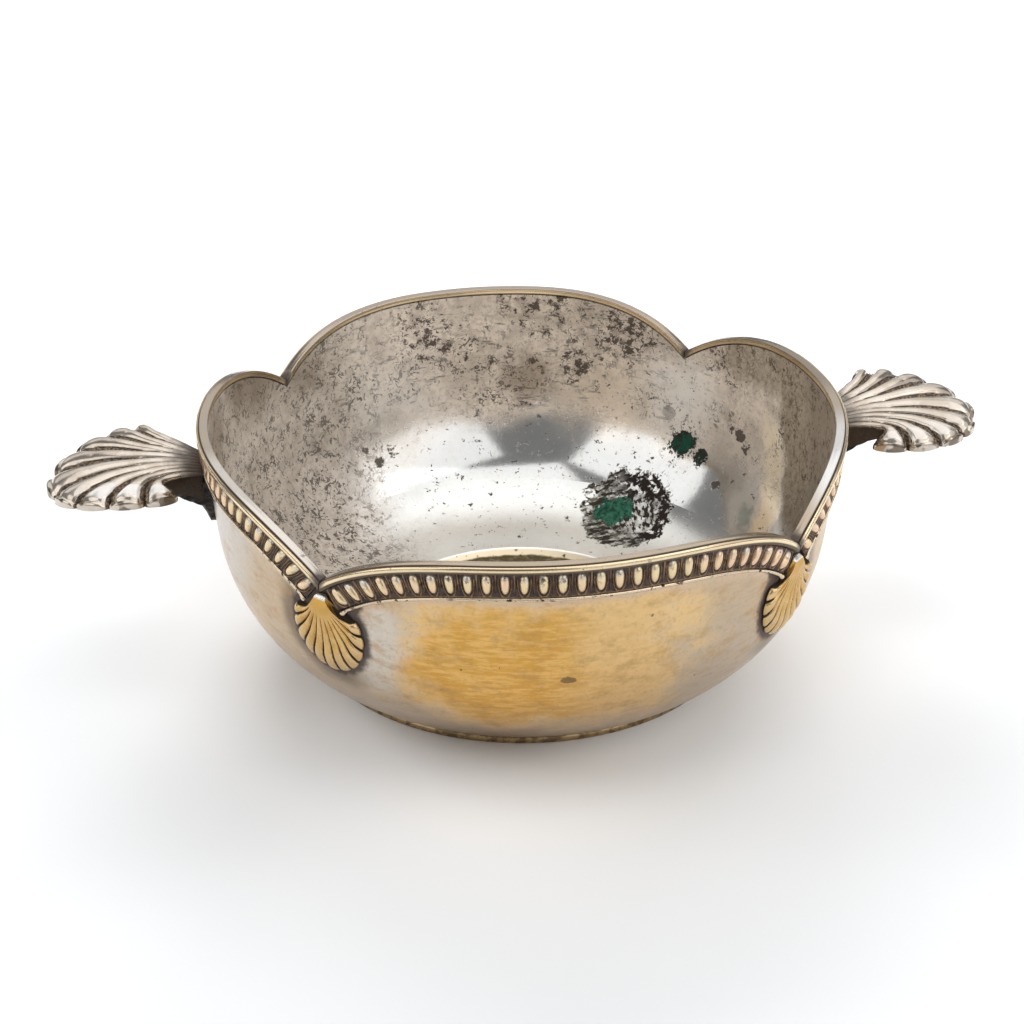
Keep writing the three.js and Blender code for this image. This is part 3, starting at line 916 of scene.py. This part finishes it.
LIP_REFLECTION_BROWN = (0.11, 0.08, 0.055)
PALE_CRUST = (0.09, 0.075, 0.055)
PALE_BROWN = (0.075, 0.057, 0.042)
BROWN = (0.055, 0.035, 0.023)
SHADED_BLACK = (0.06, 0.046, 0.036)
BLACK_BROWN = (0.030, 0.021, 0.018)
PURPLE_GREY = (0.060, 0.043, 0.042)
DARK_GREY = (0.20, 0.19, 0.18)
UMBER = (0.36, 0.29, 0.21)
DARK_UMBER = (0.21, 0.165, 0.115)
DEEP_UMBER = (0.20, 0.158, 0.11)
OLIVE = (0.20, 0.165, 0.085)
DARK_OLIVE = (0.10, 0.08, 0.035)
TEAL_GREY = (0.22, 0.30, 0.29)
GREEN = (0.06, 0.235, 0.155)
MIDDLE_GREEN = (0.012, 0.10, 0.062)
DARK_GREEN = (0.010, 0.062, 0.038)

# Marks of the inside, as a centre, a reach and an amount: where tarnish crowds together on the back lobe
CROWDS = (
    ((31, 48, 39), 11, 1), ((12, 56, 45), 12, 1), ((-10, 56, 37), 9, 1), ((-31, 48, 41), 9, 1),
    ((20, 52, 31), 7, 1),
)
# Single dark spots
SPOTS = (
    ((49.1, 26.4, 24.8), 1.6, 1), ((49.7, 24.3, 22.8), 1.1, 1), ((47.6, 28.6, 25.2), 0.8, 1),
    ((44.4, 26.6, 14.2), 1.2, 1), ((-21.6, 47.3, 14.6), 1.2, 1), ((-18.6, 48.6, 16.6), 1.3, 1),
    ((-24.4, 47.3, 17.2), 0.8, 1), ((15.0, 56.2, 37.5), 1.2, 1), ((-2.0, 57.5, 32.5), 1.0, 1),
)
# Broad tints of the wall, among them painted highlights on the back wall and painted shade high on the left
# wall
BRIGHT = (((40, 40, 27), 15, 1), ((-17, 52, 24), 17, 0.55))
WARM = (((27, 49, 25), 13, 0.6),)
HAZE = (((11, 55, 28), 8, 0.7),)
# Painted shade high on the left wall
PAINTED_SHADE_CORNER = (((-48, 32, 48), 20, 1),)
PAINTED_SHADE_LEFT = (((-56, 12, 40), 15, 0.85), ((-37, 45, 38), 11, 0.7))
TEAL = (((47.7, 16.0, 12.2), 3.6, 0.55),)
GREY_PATCH = (((37.8, 41.1, 24.1), 1.7, 0.45),)
# Verdigris, as a centre and a reach: a small spot with its satellite, and a large one in a ragged ring
SMALL_SPOT = ((40.1, 36.7, 18.9), 3.0)
SATELLITE = ((42.7, 32.7, 17.8), 1.3)
GREEN_CORE = ((25.4, 35.0, 4.8), 4.8)
RING = ((27.8, 33.2, 5.8), 10.0)
RING_HOLE = ((28.6, 32.2, 6.0), 5.4)
# The oval spot low on the outside of the front lobe
OVAL_SPOT = ((-1.6, -56.1, 23.0), 1.1)


def crowding(f, upper, left):
    """How thickly the marks of the inside stand: where they crowd, and how busy each place is."""
    crowd = f.patches(CROWDS, edge=0.8)
    somewhere = f.cloud(0.3, 0.6, 0.07, 3, 0.6, shift=31)
    busy = f.most(f.product(left, 0.95), f.product(upper, somewhere, 0.8), crowd)
    return crowd, busy


def tarnish_inside(f, crowd, busy, left):
    """Dark marks of the inside: specks, strokes, winding lines, streaks, crowded patches and spots."""
    patchy = f.noise(0.55, 5, 0.7, 0.3, f.drawn(0.9, 0.9, 1.15), 50)
    patches = f.between(f.plus(f.plus(patchy, crowd, 0.095), busy, 0.01), 0.615, 0.67)
    patches = f.product(patches, f.level(left, 1.0, 0.3))
    strokes = f.noise(0.95, 4, 0.6, 0.9, f.drawn(0.8, 0.8, 0.7), 61)
    strokes = f.between(f.plus(strokes, busy, 0.06), 0.685, 0.715)
    worms = f.product(f.lines(0.5, 0.08, shift=3, distortion=1.4), f.level(busy, 0.08, 1.0))
    veins = f.product(f.lines(0.8, 0.065, shift=23), f.level(busy, 0.12, 0.75))
    upright = f.vector("MULTIPLY", f.warped(0.7, 0.9), (1.0, 1.0, 0.36))
    dashes = f.product(f.dots(1.6, 0.36, 0.5, upright), f.level(busy, 0.15, 0.95))
    specks = f.product(f.dots(1.1, 0.26, 0.42, f.warped(0.4, 1.6)), f.level(busy, 0.45, 0.95))
    streaks = f.cloud(0.55, 0.68, 0.8, 4, 0.65, vector=f.drawn(0.2, 0.2, 1.1))
    streaks = f.product(streaks, f.zone(Y=(20, 44), Z=(15, 25)), 0.6)
    tone = f.level(f.cloud(0.3, 0.7, 1.3, 3, 0.6, shift=44), 0.75, 1.0)
    marks = f.product(f.most(patches, strokes, worms, veins, dashes, specks, streaks), tone)
    spots = f.patches(SPOTS, f.warped(1.6, 0.9))
    return f.most(f.between(marks, 0.04, 0.85), spots)


def ring_crust(f):
    """Crust and brown film of the ragged ring: rays at its left, upright flakes in its hole."""
    finer = f.warped(1.6, 1.0, f.warped(3.4, 0.4))
    ring = f.near(*RING, finer, edge=0.05)
    hole = f.near(*RING_HOLE, finer, edge=0.1)
    solid = f.cloud(0.42, 0.48, 0.6, 4, 0.65, 0.3, shift=70)
    rays = f.cloud(0.47, 0.55, 0.8, 3, 0.55, vector=f.drawn(0.5, 1.4, 1.4), shift=12)
    flakes = f.cloud(0.48, 0.55, 1.0, vector=f.drawn(1.4, 0.7, 0.7), shift=90)
    left = f.zone(X=(30, 25))
    thin = f.cloud(0.40, 0.58, 0.7, 5, 0.65, shift=52)
    film = f.product(ring, f.level(thin, 0.25, 0.9), f.most(left, f.product(hole, 0.5)))
    return f.product(ring, f.level(hole, f.level(left, solid, rays), flakes)), film


def lay_verdigris(f):
    """Lays the crust, film and green of the inside's right. Gives the crust, the film and its grain."""
    crust, film = ring_crust(f)
    core = f.near(*GREEN_CORE, f.warped(1.6, 1.2, f.warped(3.6, 0.4)), (1, 1.35, 1.35), 0.08)
    small = f.warped(2.0, 0.9, f.warped(3.2, 0.4))
    spot = f.near(*SMALL_SPOT, small, edge=0.05)
    satellite = f.near(*SATELLITE, small, edge=0.08)
    spatter = f.product(f.cloud(0.60, 0.64, 1.0, 3, 0.6, shift=15), f.near(SMALL_SPOT[0], 7.0, edge=0.7))
    inner = f.near(SMALL_SPOT[0], SMALL_SPOT[1] * 0.8, f.warped(2.6, 1.1, small), edge=0.3)
    crust = f.most(crust, core, spot, satellite, spatter)
    f.lay(film, BROWN_FILM)
    f.lay(crust, f.blend(f.product(film, 0.6), BLACK_BROWN, PALE_CRUST))
    grain = f.noise(1.1, 4, 0.65, shift=5)
    crystals = f.blend(f.between(grain, 0.35, 0.65), DARK_GREEN, f.blend(core, MIDDLE_GREEN, GREEN))
    f.lay(f.most(core, inner, f.product(satellite, 0.3)), crystals)
    return crust, film, grain


def lay_right_side(f, fine):
    """The inside's right: shade at the far right and under the rim, and a warm upright strip."""
    level_across = f.plus(f.axis("Y"), f.axis("Z"), -0.49)
    wander = f.plus(level_across, f.noise(0.3, 5, 0.65, shift=17), 8.0)
    side = f.zone(X=(44, 49))
    apart = f.math("ABSOLUTE", f.math("SUBTRACT", wander, 7.7))
    strip = f.product(f.between(apart, 4.4, 2.0), f.zone(Z=(35, 28)), side)
    beyond = f.product(f.between(wander, 5.2, 2.2), f.zone(Z=(12, 18)))
    above = f.between(f.plus(f.axis("Z"), f.noise(0.2, shift=37), 8.0), 38, 43)
    shade = f.product(f.most(beyond, f.product(above, 0.85)), side)
    darkest = f.between(level_across, -8, -16)
    f.lay(shade, f.blend(f.most(fine, darkest), UMBER, DEEP_UMBER), 0.9)
    f.lay(strip, STRIP_CREAM, 0.9)


def lay_wall_tints_and_painted_light(f, fine):
    """Broad tints of the inside's wall, with painted highlights on the back and painted shade high on the
    left. Gives the painted highlights.
    """
    # Painted highlight: warm white patches on the back wall.
    bright = f.patches(BRIGHT, f.warped(4, 0.15), 0.9)
    f.lay(bright, PAINTED_HIGHLIGHT_WHITE, 0.95)
    f.lay(f.patches(WARM, f.warped(3, 0.2), 0.9), CREAM)
    f.lay(f.patches(HAZE, f.warped(4, 0.25), 0.8), BROWN_HAZE)
    ragged = f.warped(5, 0.12)
    # Painted shade: dark umber high on the left wall.
    painted_shade = f.most(f.patches(PAINTED_SHADE_CORNER, ragged, 0.7), f.patches(PAINTED_SHADE_LEFT, ragged, 0.8))
    f.lay(painted_shade, DARK_UMBER, 0.9)
    lay_right_side(f, fine)
    f.lay(f.patches(TEAL, f.warped(3, 0.5), 0.7), TEAL_GREY)
    f.lay(f.patches(GREY_PATCH, f.warped(0.6, 0.9)), DARK_GREY)
    return bright


def lay_well(f, fine, mottle):
    """The well's step painted pale as a highlight, and its bottom painted olive as a dark reflection that
    turns to worn gilding at the back.
    """
    # Painted highlight on the well's step.
    f.lay(f.zone(Z=(2.55, 2.3)), STEP_HIGHLIGHT_GOLD)
    bottom = f.between(f.plus(f.axis("Z"), f.noise(0.4), 0.5), 1.95, 1.65)
    gilt = f.between(f.plus(f.axis("Y"), f.noise(0.09, shift=64), 30.0), 26, 4)
    # Painted dark reflection: olive on the well's bottom.
    olive = f.blend(fine, DARK_OLIVE, OLIVE)
    worn_gilt = f.blend(f.most(fine, mottle), WORN_GILT, DULL_GILT)
    f.lay(bottom, f.blend(gilt, olive, worn_gilt))
    return bottom


def inside_metal():
    f = Finish("pitted_silver_inside")
    cloud = f.noise(0.055, 4, 0.55)
    upper = f.between(f.plus(f.axis("Z"), cloud, 22.0), 25.0, 38.0)
    left = f.between(f.plus(f.axis("X"), cloud, 30.0), 5.0, -20.0)
    low = f.between(f.plus(f.axis("Z"), cloud, 5.0), 12.5, 7.0)
    dull = f.most(left, upper)
    mottle = f.cloud(0.42, 0.68, 0.16, 5, 0.62, 0.4, shift=7)
    fine = f.cloud(0.42, 0.66, 0.9, 5, 0.7, shift=88)
    f.colour = f.blend(dull, SILVER, f.blend(left, WORN_SILVER, DULL_SILVER))
    f.lay(f.product(low, f.level(dull, 1.0, 0.0)), FLOOR_SILVER)
    f.lay(f.product(f.most(mottle, fine), f.level(dull, 0.1, 0.6)), MOTTLING)
    bright = lay_wall_tints_and_painted_light(f, fine)
    bottom = lay_well(f, fine, mottle)
    crowd, busy = crowding(f, upper, left)
    f.lay(f.product(busy, f.cloud(0.46, 0.7, 0.3, 4, 0.65, shift=91), f.level(crowd, 0.38, 0.6)), SMUDGE)
    marks = tarnish_inside(f, crowd, busy, left)
    f.lay(f.product(marks, f.level(left, 0.9, 0.8)), f.blend(left, BROWN, PALE_BROWN))
    crust, film, grain = lay_verdigris(f)
    rough = f.level(dull, f.level(low, 0.11, 0.36), 0.38)
    rough = f.level(crust, f.level(f.most(marks, bottom), rough, 0.5), 0.85)
    worn_off = f.most(f.product(marks, 0.75), crust, film, f.product(bottom, 0.5))
    # Where the painted highlights lie on the dull silver, it turns nearly matt.
    metal = f.level(worn_off, f.level(dull, 1.0, f.level(bright, 0.42, 0.05)), 0.0)
    relief = f.plus(f.plus(f.product(crust, grain), marks, -0.4), f.noise(0.5, 3, 0.5), 0.1)
    f.bump(relief, 0.09)
    return f.set(metal, rough, 0.2)


def lay_gilding(f, brushed, cloud):
    """Pale brass, with the gilding worn bare in the middle of the front lobe and deepest at its left."""
    edge = f.plus(f.plus(f.mask("worn"), cloud, 0.8), brushed, 0.3)
    front = f.level(f.zone(Y=(-25, -42)), 0.3, 1.0)
    gold = f.product(f.between(edge, 0.56, 0.9), front)
    deep = f.between(f.plus(edge, f.noise(0.14, shift=21), 0.6), 1.02, 1.35)
    leftwards = f.between(f.plus(f.axis("X"), cloud, 20.0), 18, 4)
    deep = f.product(deep, front, f.level(leftwards, 0.35, 1.0))
    f.colour = f.blend(f.cloud(0.42, 0.62, 0.05, 3, 0.5, shift=60), PALE_BRASS, WARM_BRASS)
    f.lay(f.between(brushed, 0.48, 0.72), BRUSHED_BRASS)
    f.lay(gold, WORN_GOLD)
    f.lay(deep, f.blend(f.between(brushed, 0.4, 0.62), DEEP_GOLD, BRIGHT_GOLD))


def lay_outside_wear_and_shade(f, cloud):
    """Silver left over, painted shade beside the front shells, tan just under the border, darker brown
    towards the bottom, and rust and grit.
    """
    gap = f.mask("shell_gap")
    white = f.product(f.between(f.plus(gap, cloud, 7.0), 13.0, 7.5), f.zone(Y=(-39, -45), X=(20, -20)))
    f.lay(white, OLD_SILVER, 0.85)
    # Painted shade beside the front shells, on the side lobes.
    beside = f.product(f.zone(Y=(-45, -39)), f.zone(Y=(-15, -28)))
    f.lay(f.product(f.between(f.plus(gap, cloud, 6.0), 9.0, 4.0), beside), SHADED_BROWN, 0.85)
    f.lay(f.zone(X=(-50, -56), Z=(8, 20)), LEFT_SILVER, 0.8)
    f.lay(f.between(f.plus(f.mask("under_border"), cloud, 2.5), 4.0, 2.2), BORDER_TAN, 0.8)
    f.lay(f.between(f.plus(f.axis("Z"), cloud, 8.0), 14.0, 8.0), LOW_BROWN, 0.7)
    f.lay(f.cloud(0.48, 0.70, 0.25, 6, 0.68, vector=f.drawn(0.7, 0.7, 1.2), shift=77), RUST, 0.55)
    f.lay(f.cloud(0.5, 0.72, 1.3, 4, 0.7, shift=101), GRIT, 0.35)


def lay_outside_dirt(f):
    """Darkening round the shells and under the border, specks and one oval spot."""
    gap, under = f.mask("shell_gap"), f.mask("under_border")
    ragged = f.noise(0.55, 5, 0.65, shift=9)
    halo = f.between(f.plus(gap, ragged, 2.0), 2.6, 1.3)
    corner = f.between(gap, 12.0, 3.0)
    from_wire = f.plus(under, ragged, 3.0)
    pocket = f.between(f.plus(f.product(gap, 0.6), from_wire), 4.6, 3.2)
    line = f.product(f.between(from_wire, 2.3, 1.2), f.level(corner, 0.35, 1.0))
    specks = f.dots(3.2, 0.34, 0.35, f.warped(0.5, 0.8))
    oval = f.near(*OVAL_SPOT, f.warped(0.55, 0.8), (0.68, 0.68, 1.2))
    darkening = f.product(f.most(halo, pocket, line), 0.9)
    dirt = f.most(darkening, f.product(specks, 0.7), f.product(oval, 0.75))
    f.lay(dirt, f.blend(corner, DIRT, PURPLE_GREY))
    return dirt


def outside_metal():
    f = Finish("worn_gilding_outside")
    brushed = f.noise(0.8, 5, 0.62, vector=f.drawn(0.3, 0.3, 1.6))
    cloud = f.noise(0.09, shift=4)
    lay_gilding(f, brushed, cloud)
    lay_outside_wear_and_shade(f, cloud)
    dirt = lay_outside_dirt(f)
    f.bump(f.plus(brushed, dirt, -0.5), 0.02)
    return f.set(f.level(dirt, 1.0, 0.3), f.level(dirt, f.level(brushed, 0.22, 0.38), 0.6), 0.3)


def foot_metal():
    f = Finish("worn_gilt_foot")
    dirt = f.cloud(0.42, 0.6, 0.6)
    f.colour = f.blend(dirt, (0.42, 0.30, 0.16), (0.20, 0.135, 0.07))
    return f.set(1.0, f.level(dirt, 0.34, 0.45))


def band_metal():
    f = Finish("worn_silver_band")
    down = f.mask("down")
    f.colour = f.blend(f.cloud(0.4, 0.65, 0.06, 3, 0.5, shift=5), (0.41, 0.35, 0.295), (0.44, 0.36, 0.265))
    f.lay(f.zone(Y=(-40, -50)), (0.54, 0.445, 0.335))
    f.lay(f.zone(X=(44, 50), Y=(-5, 5)), (0.28, 0.235, 0.18))
    f.lay(f.zone(X=(44, 50), Y=(-7, -18)), (0.66, 0.65, 0.63))
    f.lay(f.zone(X=(-38, -46), Y=(-6, -14)), (0.62, 0.575, 0.52))
    bead = f.between(down, 0.12, 0.3)
    f.lay(bead, BEAD_GOLD)
    seam = f.product(f.between(down, 0.40, 0.46), f.between(down, 0.56, 0.50))
    f.lay(seam, (0.20, 0.13, 0.08), 0.7)
    speck = f.most(f.dots(1.3, 0.22, 0.3, f.warped(0.3, 1.5)), f.cloud(0.62, 0.7, 0.7, 4, 0.65))
    under_bead = f.between(down, 0.9, 1.1)
    notch = f.between(f.plus(f.mask("end"), f.noise(0.5, 3, 0.55), 2.4), 3.2, 1.6)
    dirt = f.most(f.mask("groove"), f.product(speck, 0.5), f.product(f.most(under_bead, notch), 0.9))
    f.lay(dirt, f.blend(notch, BROWN, PURPLE_GREY))
    return f.set(f.level(dirt, 1.0, 0.5), f.level(dirt, 0.2, 0.55))


def relief_metal():
    f = Finish("egg_and_dart_relief")
    egg, down = f.mask("egg"), f.mask("down")
    ridge = f.between(f.plus(f.mask("relief"), f.noise(1.4, 3, 0.6), 0.16), 0.26, 0.44)
    f.colour = f.blend(f.cloud(0.35, 0.65, 0.8), BLACK_BROWN, (0.10, 0.062, 0.052))
    f.lay(ridge, (0.40, 0.26, 0.14), 0.75)
    crest = f.blend(f.cloud(0.42, 0.6, 0.09, 3, 0.5, shift=8), (0.82, 0.66, 0.40), (0.84, 0.60, 0.40))
    silvered = f.product(f.between(down, 1.9, 0.5), f.cloud(0.38, 0.6, 0.45, 3, 0.6, shift=2))
    crest = f.blend(f.product(silvered, 0.8), crest, (0.60, 0.58, 0.56))
    stain = f.product(f.cloud(0.56, 0.63, 0.9, 4, 0.65, shift=33), f.between(down, 2.6, 0.8))
    crest = f.blend(f.product(stain, 0.8), crest, (0.07, 0.065, 0.07))
    f.lay(egg, crest)
    bright = f.most(egg, f.product(ridge, 0.6))
    return f.set(f.level(bright, 0.2, 1.0), f.level(egg, 0.5, 0.33))


def wire_metal():
    f = Finish("polished_wire")
    dirt = f.most(f.cloud(0.56, 0.66, 0.9), f.mask("nick"))
    f.colour = f.blend(dirt, (0.68, 0.56, 0.41), BROWN)
    return f.set(1.0, f.level(dirt, 0.22, 0.5))


def shell_metal():
    f = Finish("gilt_shell_with_dark_grooves")
    along = f.mask("along")
    f.colour = f.blend(f.cloud(0.35, 0.65, 0.35), (0.60, 0.365, 0.12), (0.71, 0.475, 0.20))
    f.lay(f.between(along, 0.5, 0.2), UMBO_GOLD)
    f.lay(f.between(along, 0.72, 0.9), PALE_GOLD, 0.35)
    # Whitish silver on the hinge plate, partly a painted highlight.
    f.lay(f.between(along, 0.09, 0.05), HINGE_SILVER_AND_HIGHLIGHT)
    groove = f.between(f.plus(f.mask("groove"), f.noise(1.2), 0.5), 0.42, 0.85)
    f.lay(groove, (0.045, 0.030, 0.018))
    f.bump(f.noise(1.6, 3, 0.5), 0.03)
    return f.set(f.level(groove, 1.0, 0.3), f.level(groove, 0.27, 0.6))


def handle_metal():
    f = Finish("cast_silver_with_stippled_grooves")
    stipple = f.noise(1.9, 3, 0.6)
    along = f.mask("along")
    f.colour = f.blend(f.cloud(0.35, 0.65, 0.2), (0.53, 0.455, 0.38), (0.66, 0.59, 0.51))
    channel = f.between(f.plus(f.mask("channel"), stipple, 0.5), 0.52, 0.76)
    f.lay(channel, f.blend(f.between(stipple, 0.42, 0.62), (0.03, 0.022, 0.017), (0.28, 0.20, 0.13)), 0.95)
    neck = f.between(f.plus(along, f.noise(0.35), 0.3), 0.49, 0.25)
    f.lay(neck, (0.085, 0.07, 0.06), 0.85)
    # Painted dark reflection: brown patches along the rolled lip.
    f.lay(f.product(f.mask("lip"), f.cloud(0.5, 0.56, 0.33, 2, 0.5, shift=3)), LIP_REFLECTION_BROWN, 0.8)
    # Painted highlight: a whitish, nearly matt patch on the front ribs just before the lip, strongest on
    # the left handle.
    near_lip = f.plus(along, f.noise(0.4, 3, 0.6, shift=12), 0.06)
    painted_highlight = f.product(f.between(near_lip, 0.77, 0.85), f.between(near_lip, 1.0, 0.96))
    painted_highlight = f.product(painted_highlight, f.zone(Y=(-5, -13)), f.between(channel, 0.4, 0.0))
    painted_highlight = f.product(painted_highlight, f.level(f.zone(X=(-20, 20)), 0.85, 0.4))
    f.lay(painted_highlight, PAINTED_HIGHLIGHT_SILVER)
    below = f.product(f.mask("under"), 0.92)
    f.lay(below, SHADED_BLACK)
    dark = f.most(channel, neck, below)
    f.bump(f.product(stipple, channel), 0.22)
    return f.set(f.level(painted_highlight, f.level(dark, 1.0, 0.6), 0.15), f.level(dark, 0.21, 0.45), 0.3)


def bracket_metal():
    f = Finish("blackened_bracket")
    crest = f.between(f.plus(f.mask("carve"), f.noise(0.8), 0.4), 0.1, 0.5)
    f.colour = f.blend(crest, (0.022, 0.018, 0.017), (0.22, 0.18, 0.16))
    return f.set(0.75, f.level(crest, 0.5, 0.3))


# Camera, floor and lights

CAMERA_FROM = (-1.14787, -6.69377, 4.02456)
CAMERA_TO = (-0.02989, 0.00499, 0.4291)
LENS = 85.873
SENSOR = 36.0
BOWL_AT = (0, 0, 0.02)
ROOM_BRIGHTNESS = 0.26
FLOOR_WHITE = 0.93
FLOOR_HALF = 6.0
FLOOR_GAP = 0.00002
PAPER_WHITE = (0.92, 0.935, 0.95, 1)
CEILING_AT = Vector((0.27, 0.1, 1.0))
# Softboxes that the metal mirrors and that don't light matt surfaces: turn from the front to the
# right, rise, distance, width, height and brightness
SOFTBOXES = {
    "left": (-69, 30, 1.0, 0.97, 0.78, 1.15),
    "right": (35, 29, 1.0, 0.99, 0.74, 1.05),
    "far_right": (82, 28, 1.0, 0.72, 0.8, 0.6),
    "back": (180, 30, 1.3, 2.2, 0.6, 0.76),
}
# Panels for the floor: turn from the front to the right, rise, and share of the floor's light
FLOOR_LIGHTS = (
    (180, 35, 0.21), (160, 14, 0.17), (-125, 14, 0.165), (85, 14, 0.135), (85, 35, 0.09),
    (-95, 48, 0.095), (0, 86, 0.12), (0, 14, 0.045), (120, 58, 0.035),
)


def aim(thing, place, target):
    """Puts a camera or a light at a place, facing a target."""
    thing.location = place
    thing.rotation_euler = (Vector(target) - Vector(place)).to_track_quat("-Z", "Y").to_euler()


def make_camera():
    data = bpy.data.cameras.new("camera")
    data.lens = LENS
    data.sensor_width = SENSOR
    data.clip_start = 0.01
    camera = add_object("camera", data)
    aim(camera, Vector(CAMERA_FROM) * RIM_RADIUS * MM, Vector(CAMERA_TO) * RIM_RADIUS * MM)
    bpy.context.scene.camera = camera
    bpy.context.scene.view_settings.view_transform = "Standard"


def make_floor():
    mesh = bpy.data.meshes.new("floor")
    corners = [(-1, -1), (1, -1), (1, 1), (-1, 1)]
    mesh.from_pydata([(x * FLOOR_HALF, y * FLOOR_HALF, 0) for x, y in corners], [], [(0, 1, 2, 3)])
    floor = add_object("floor", mesh)
    floor.location.z = -FLOOR_GAP
    material = bpy.data.materials.new("white_paper")
    material.use_nodes = True
    shader = material.node_tree.nodes["Principled BSDF"]
    shader.inputs["Base Color"].default_value = PAPER_WHITE
    shader.inputs["Roughness"].default_value = 0.9
    shader.inputs["Specular IOR Level"].default_value = 0.0
    mesh.materials.append(material)


def from_bowl(turn, rise, distance):
    """A point seen from the bowl: turn in degrees from the front to the right, rise over the floor."""
    turn, rise = math.radians(turn), math.radians(rise)
    level = math.cos(rise)
    towards = Vector((math.sin(turn) * level, -math.cos(turn) * level, math.sin(rise)))
    return towards * distance


def softbox(name, place, target, width, height, brightness):
    """A soft rectangular panel at a place, facing its target."""
    data = bpy.data.lights.new(name, "AREA")
    data.shape = "RECTANGLE"
    data.size = width
    data.size_y = height
    data.energy = math.pi * width * height * brightness
    light = add_object(name, data)
    aim(light, place, target)
    return light


def floor_light(turn, rise, share):
    """A panel that gives the floor a share of its light. The metal doesn't mirror it."""
    distance, width, height = 1.1, 0.7, 0.32
    through = width * height * math.sin(math.radians(rise)) / distance ** 2
    brightness = share * math.pi / FLOOR_WHITE / through
    place = from_bowl(turn, rise, distance)
    light = softbox(f"floor_light_{turn}_{rise}", place, BOWL_AT, width, height, brightness)
    light.visible_glossy = False


def make_light():
    world = bpy.data.worlds.new("studio")
    bpy.context.scene.world = world
    world.use_nodes = True
    background = world.node_tree.nodes["Background"]
    background.inputs["Color"].default_value = (1, 1, 1, 1)
    background.inputs["Strength"].default_value = ROOM_BRIGHTNESS
    below_ceiling = (CEILING_AT.x, CEILING_AT.y, 0)
    mirrored = [softbox("ceiling_softbox", CEILING_AT, below_ceiling, 1.5, 1.85, 1.17)]
    for name, (turn, rise, distance, width, height, brightness) in SOFTBOXES.items():
        place = from_bowl(turn, rise, distance)
        mirrored.append(softbox(f"{name}_softbox", place, BOWL_AT, width, height, brightness))
    for light in mirrored:
        light.visible_diffuse = False
    for turn, rise, share in FLOOR_LIGHTS:
        floor_light(turn, rise, share)


def make_everything():
    make_camera()
    make_floor()
    make_light()
    make_bowl()
    make_foot()
    band, relief, wire = band_metal(), relief_metal(), wire_metal()
    for side, middle in SIDES.items():
        make_rim_moulding(side, middle, band)
        make_egg_border(side, middle, relief)
        make_lower_wire(side, middle, wire)
    gilt = shell_metal()
    for corner, turn in CORNERS.items():
        make_corner_shell(corner, turn, gilt)
    cast, dark = handle_metal(), bracket_metal()
    make_handle("right", 1, cast, dark)
    make_handle("left", -1, cast, dark)


make_everything()
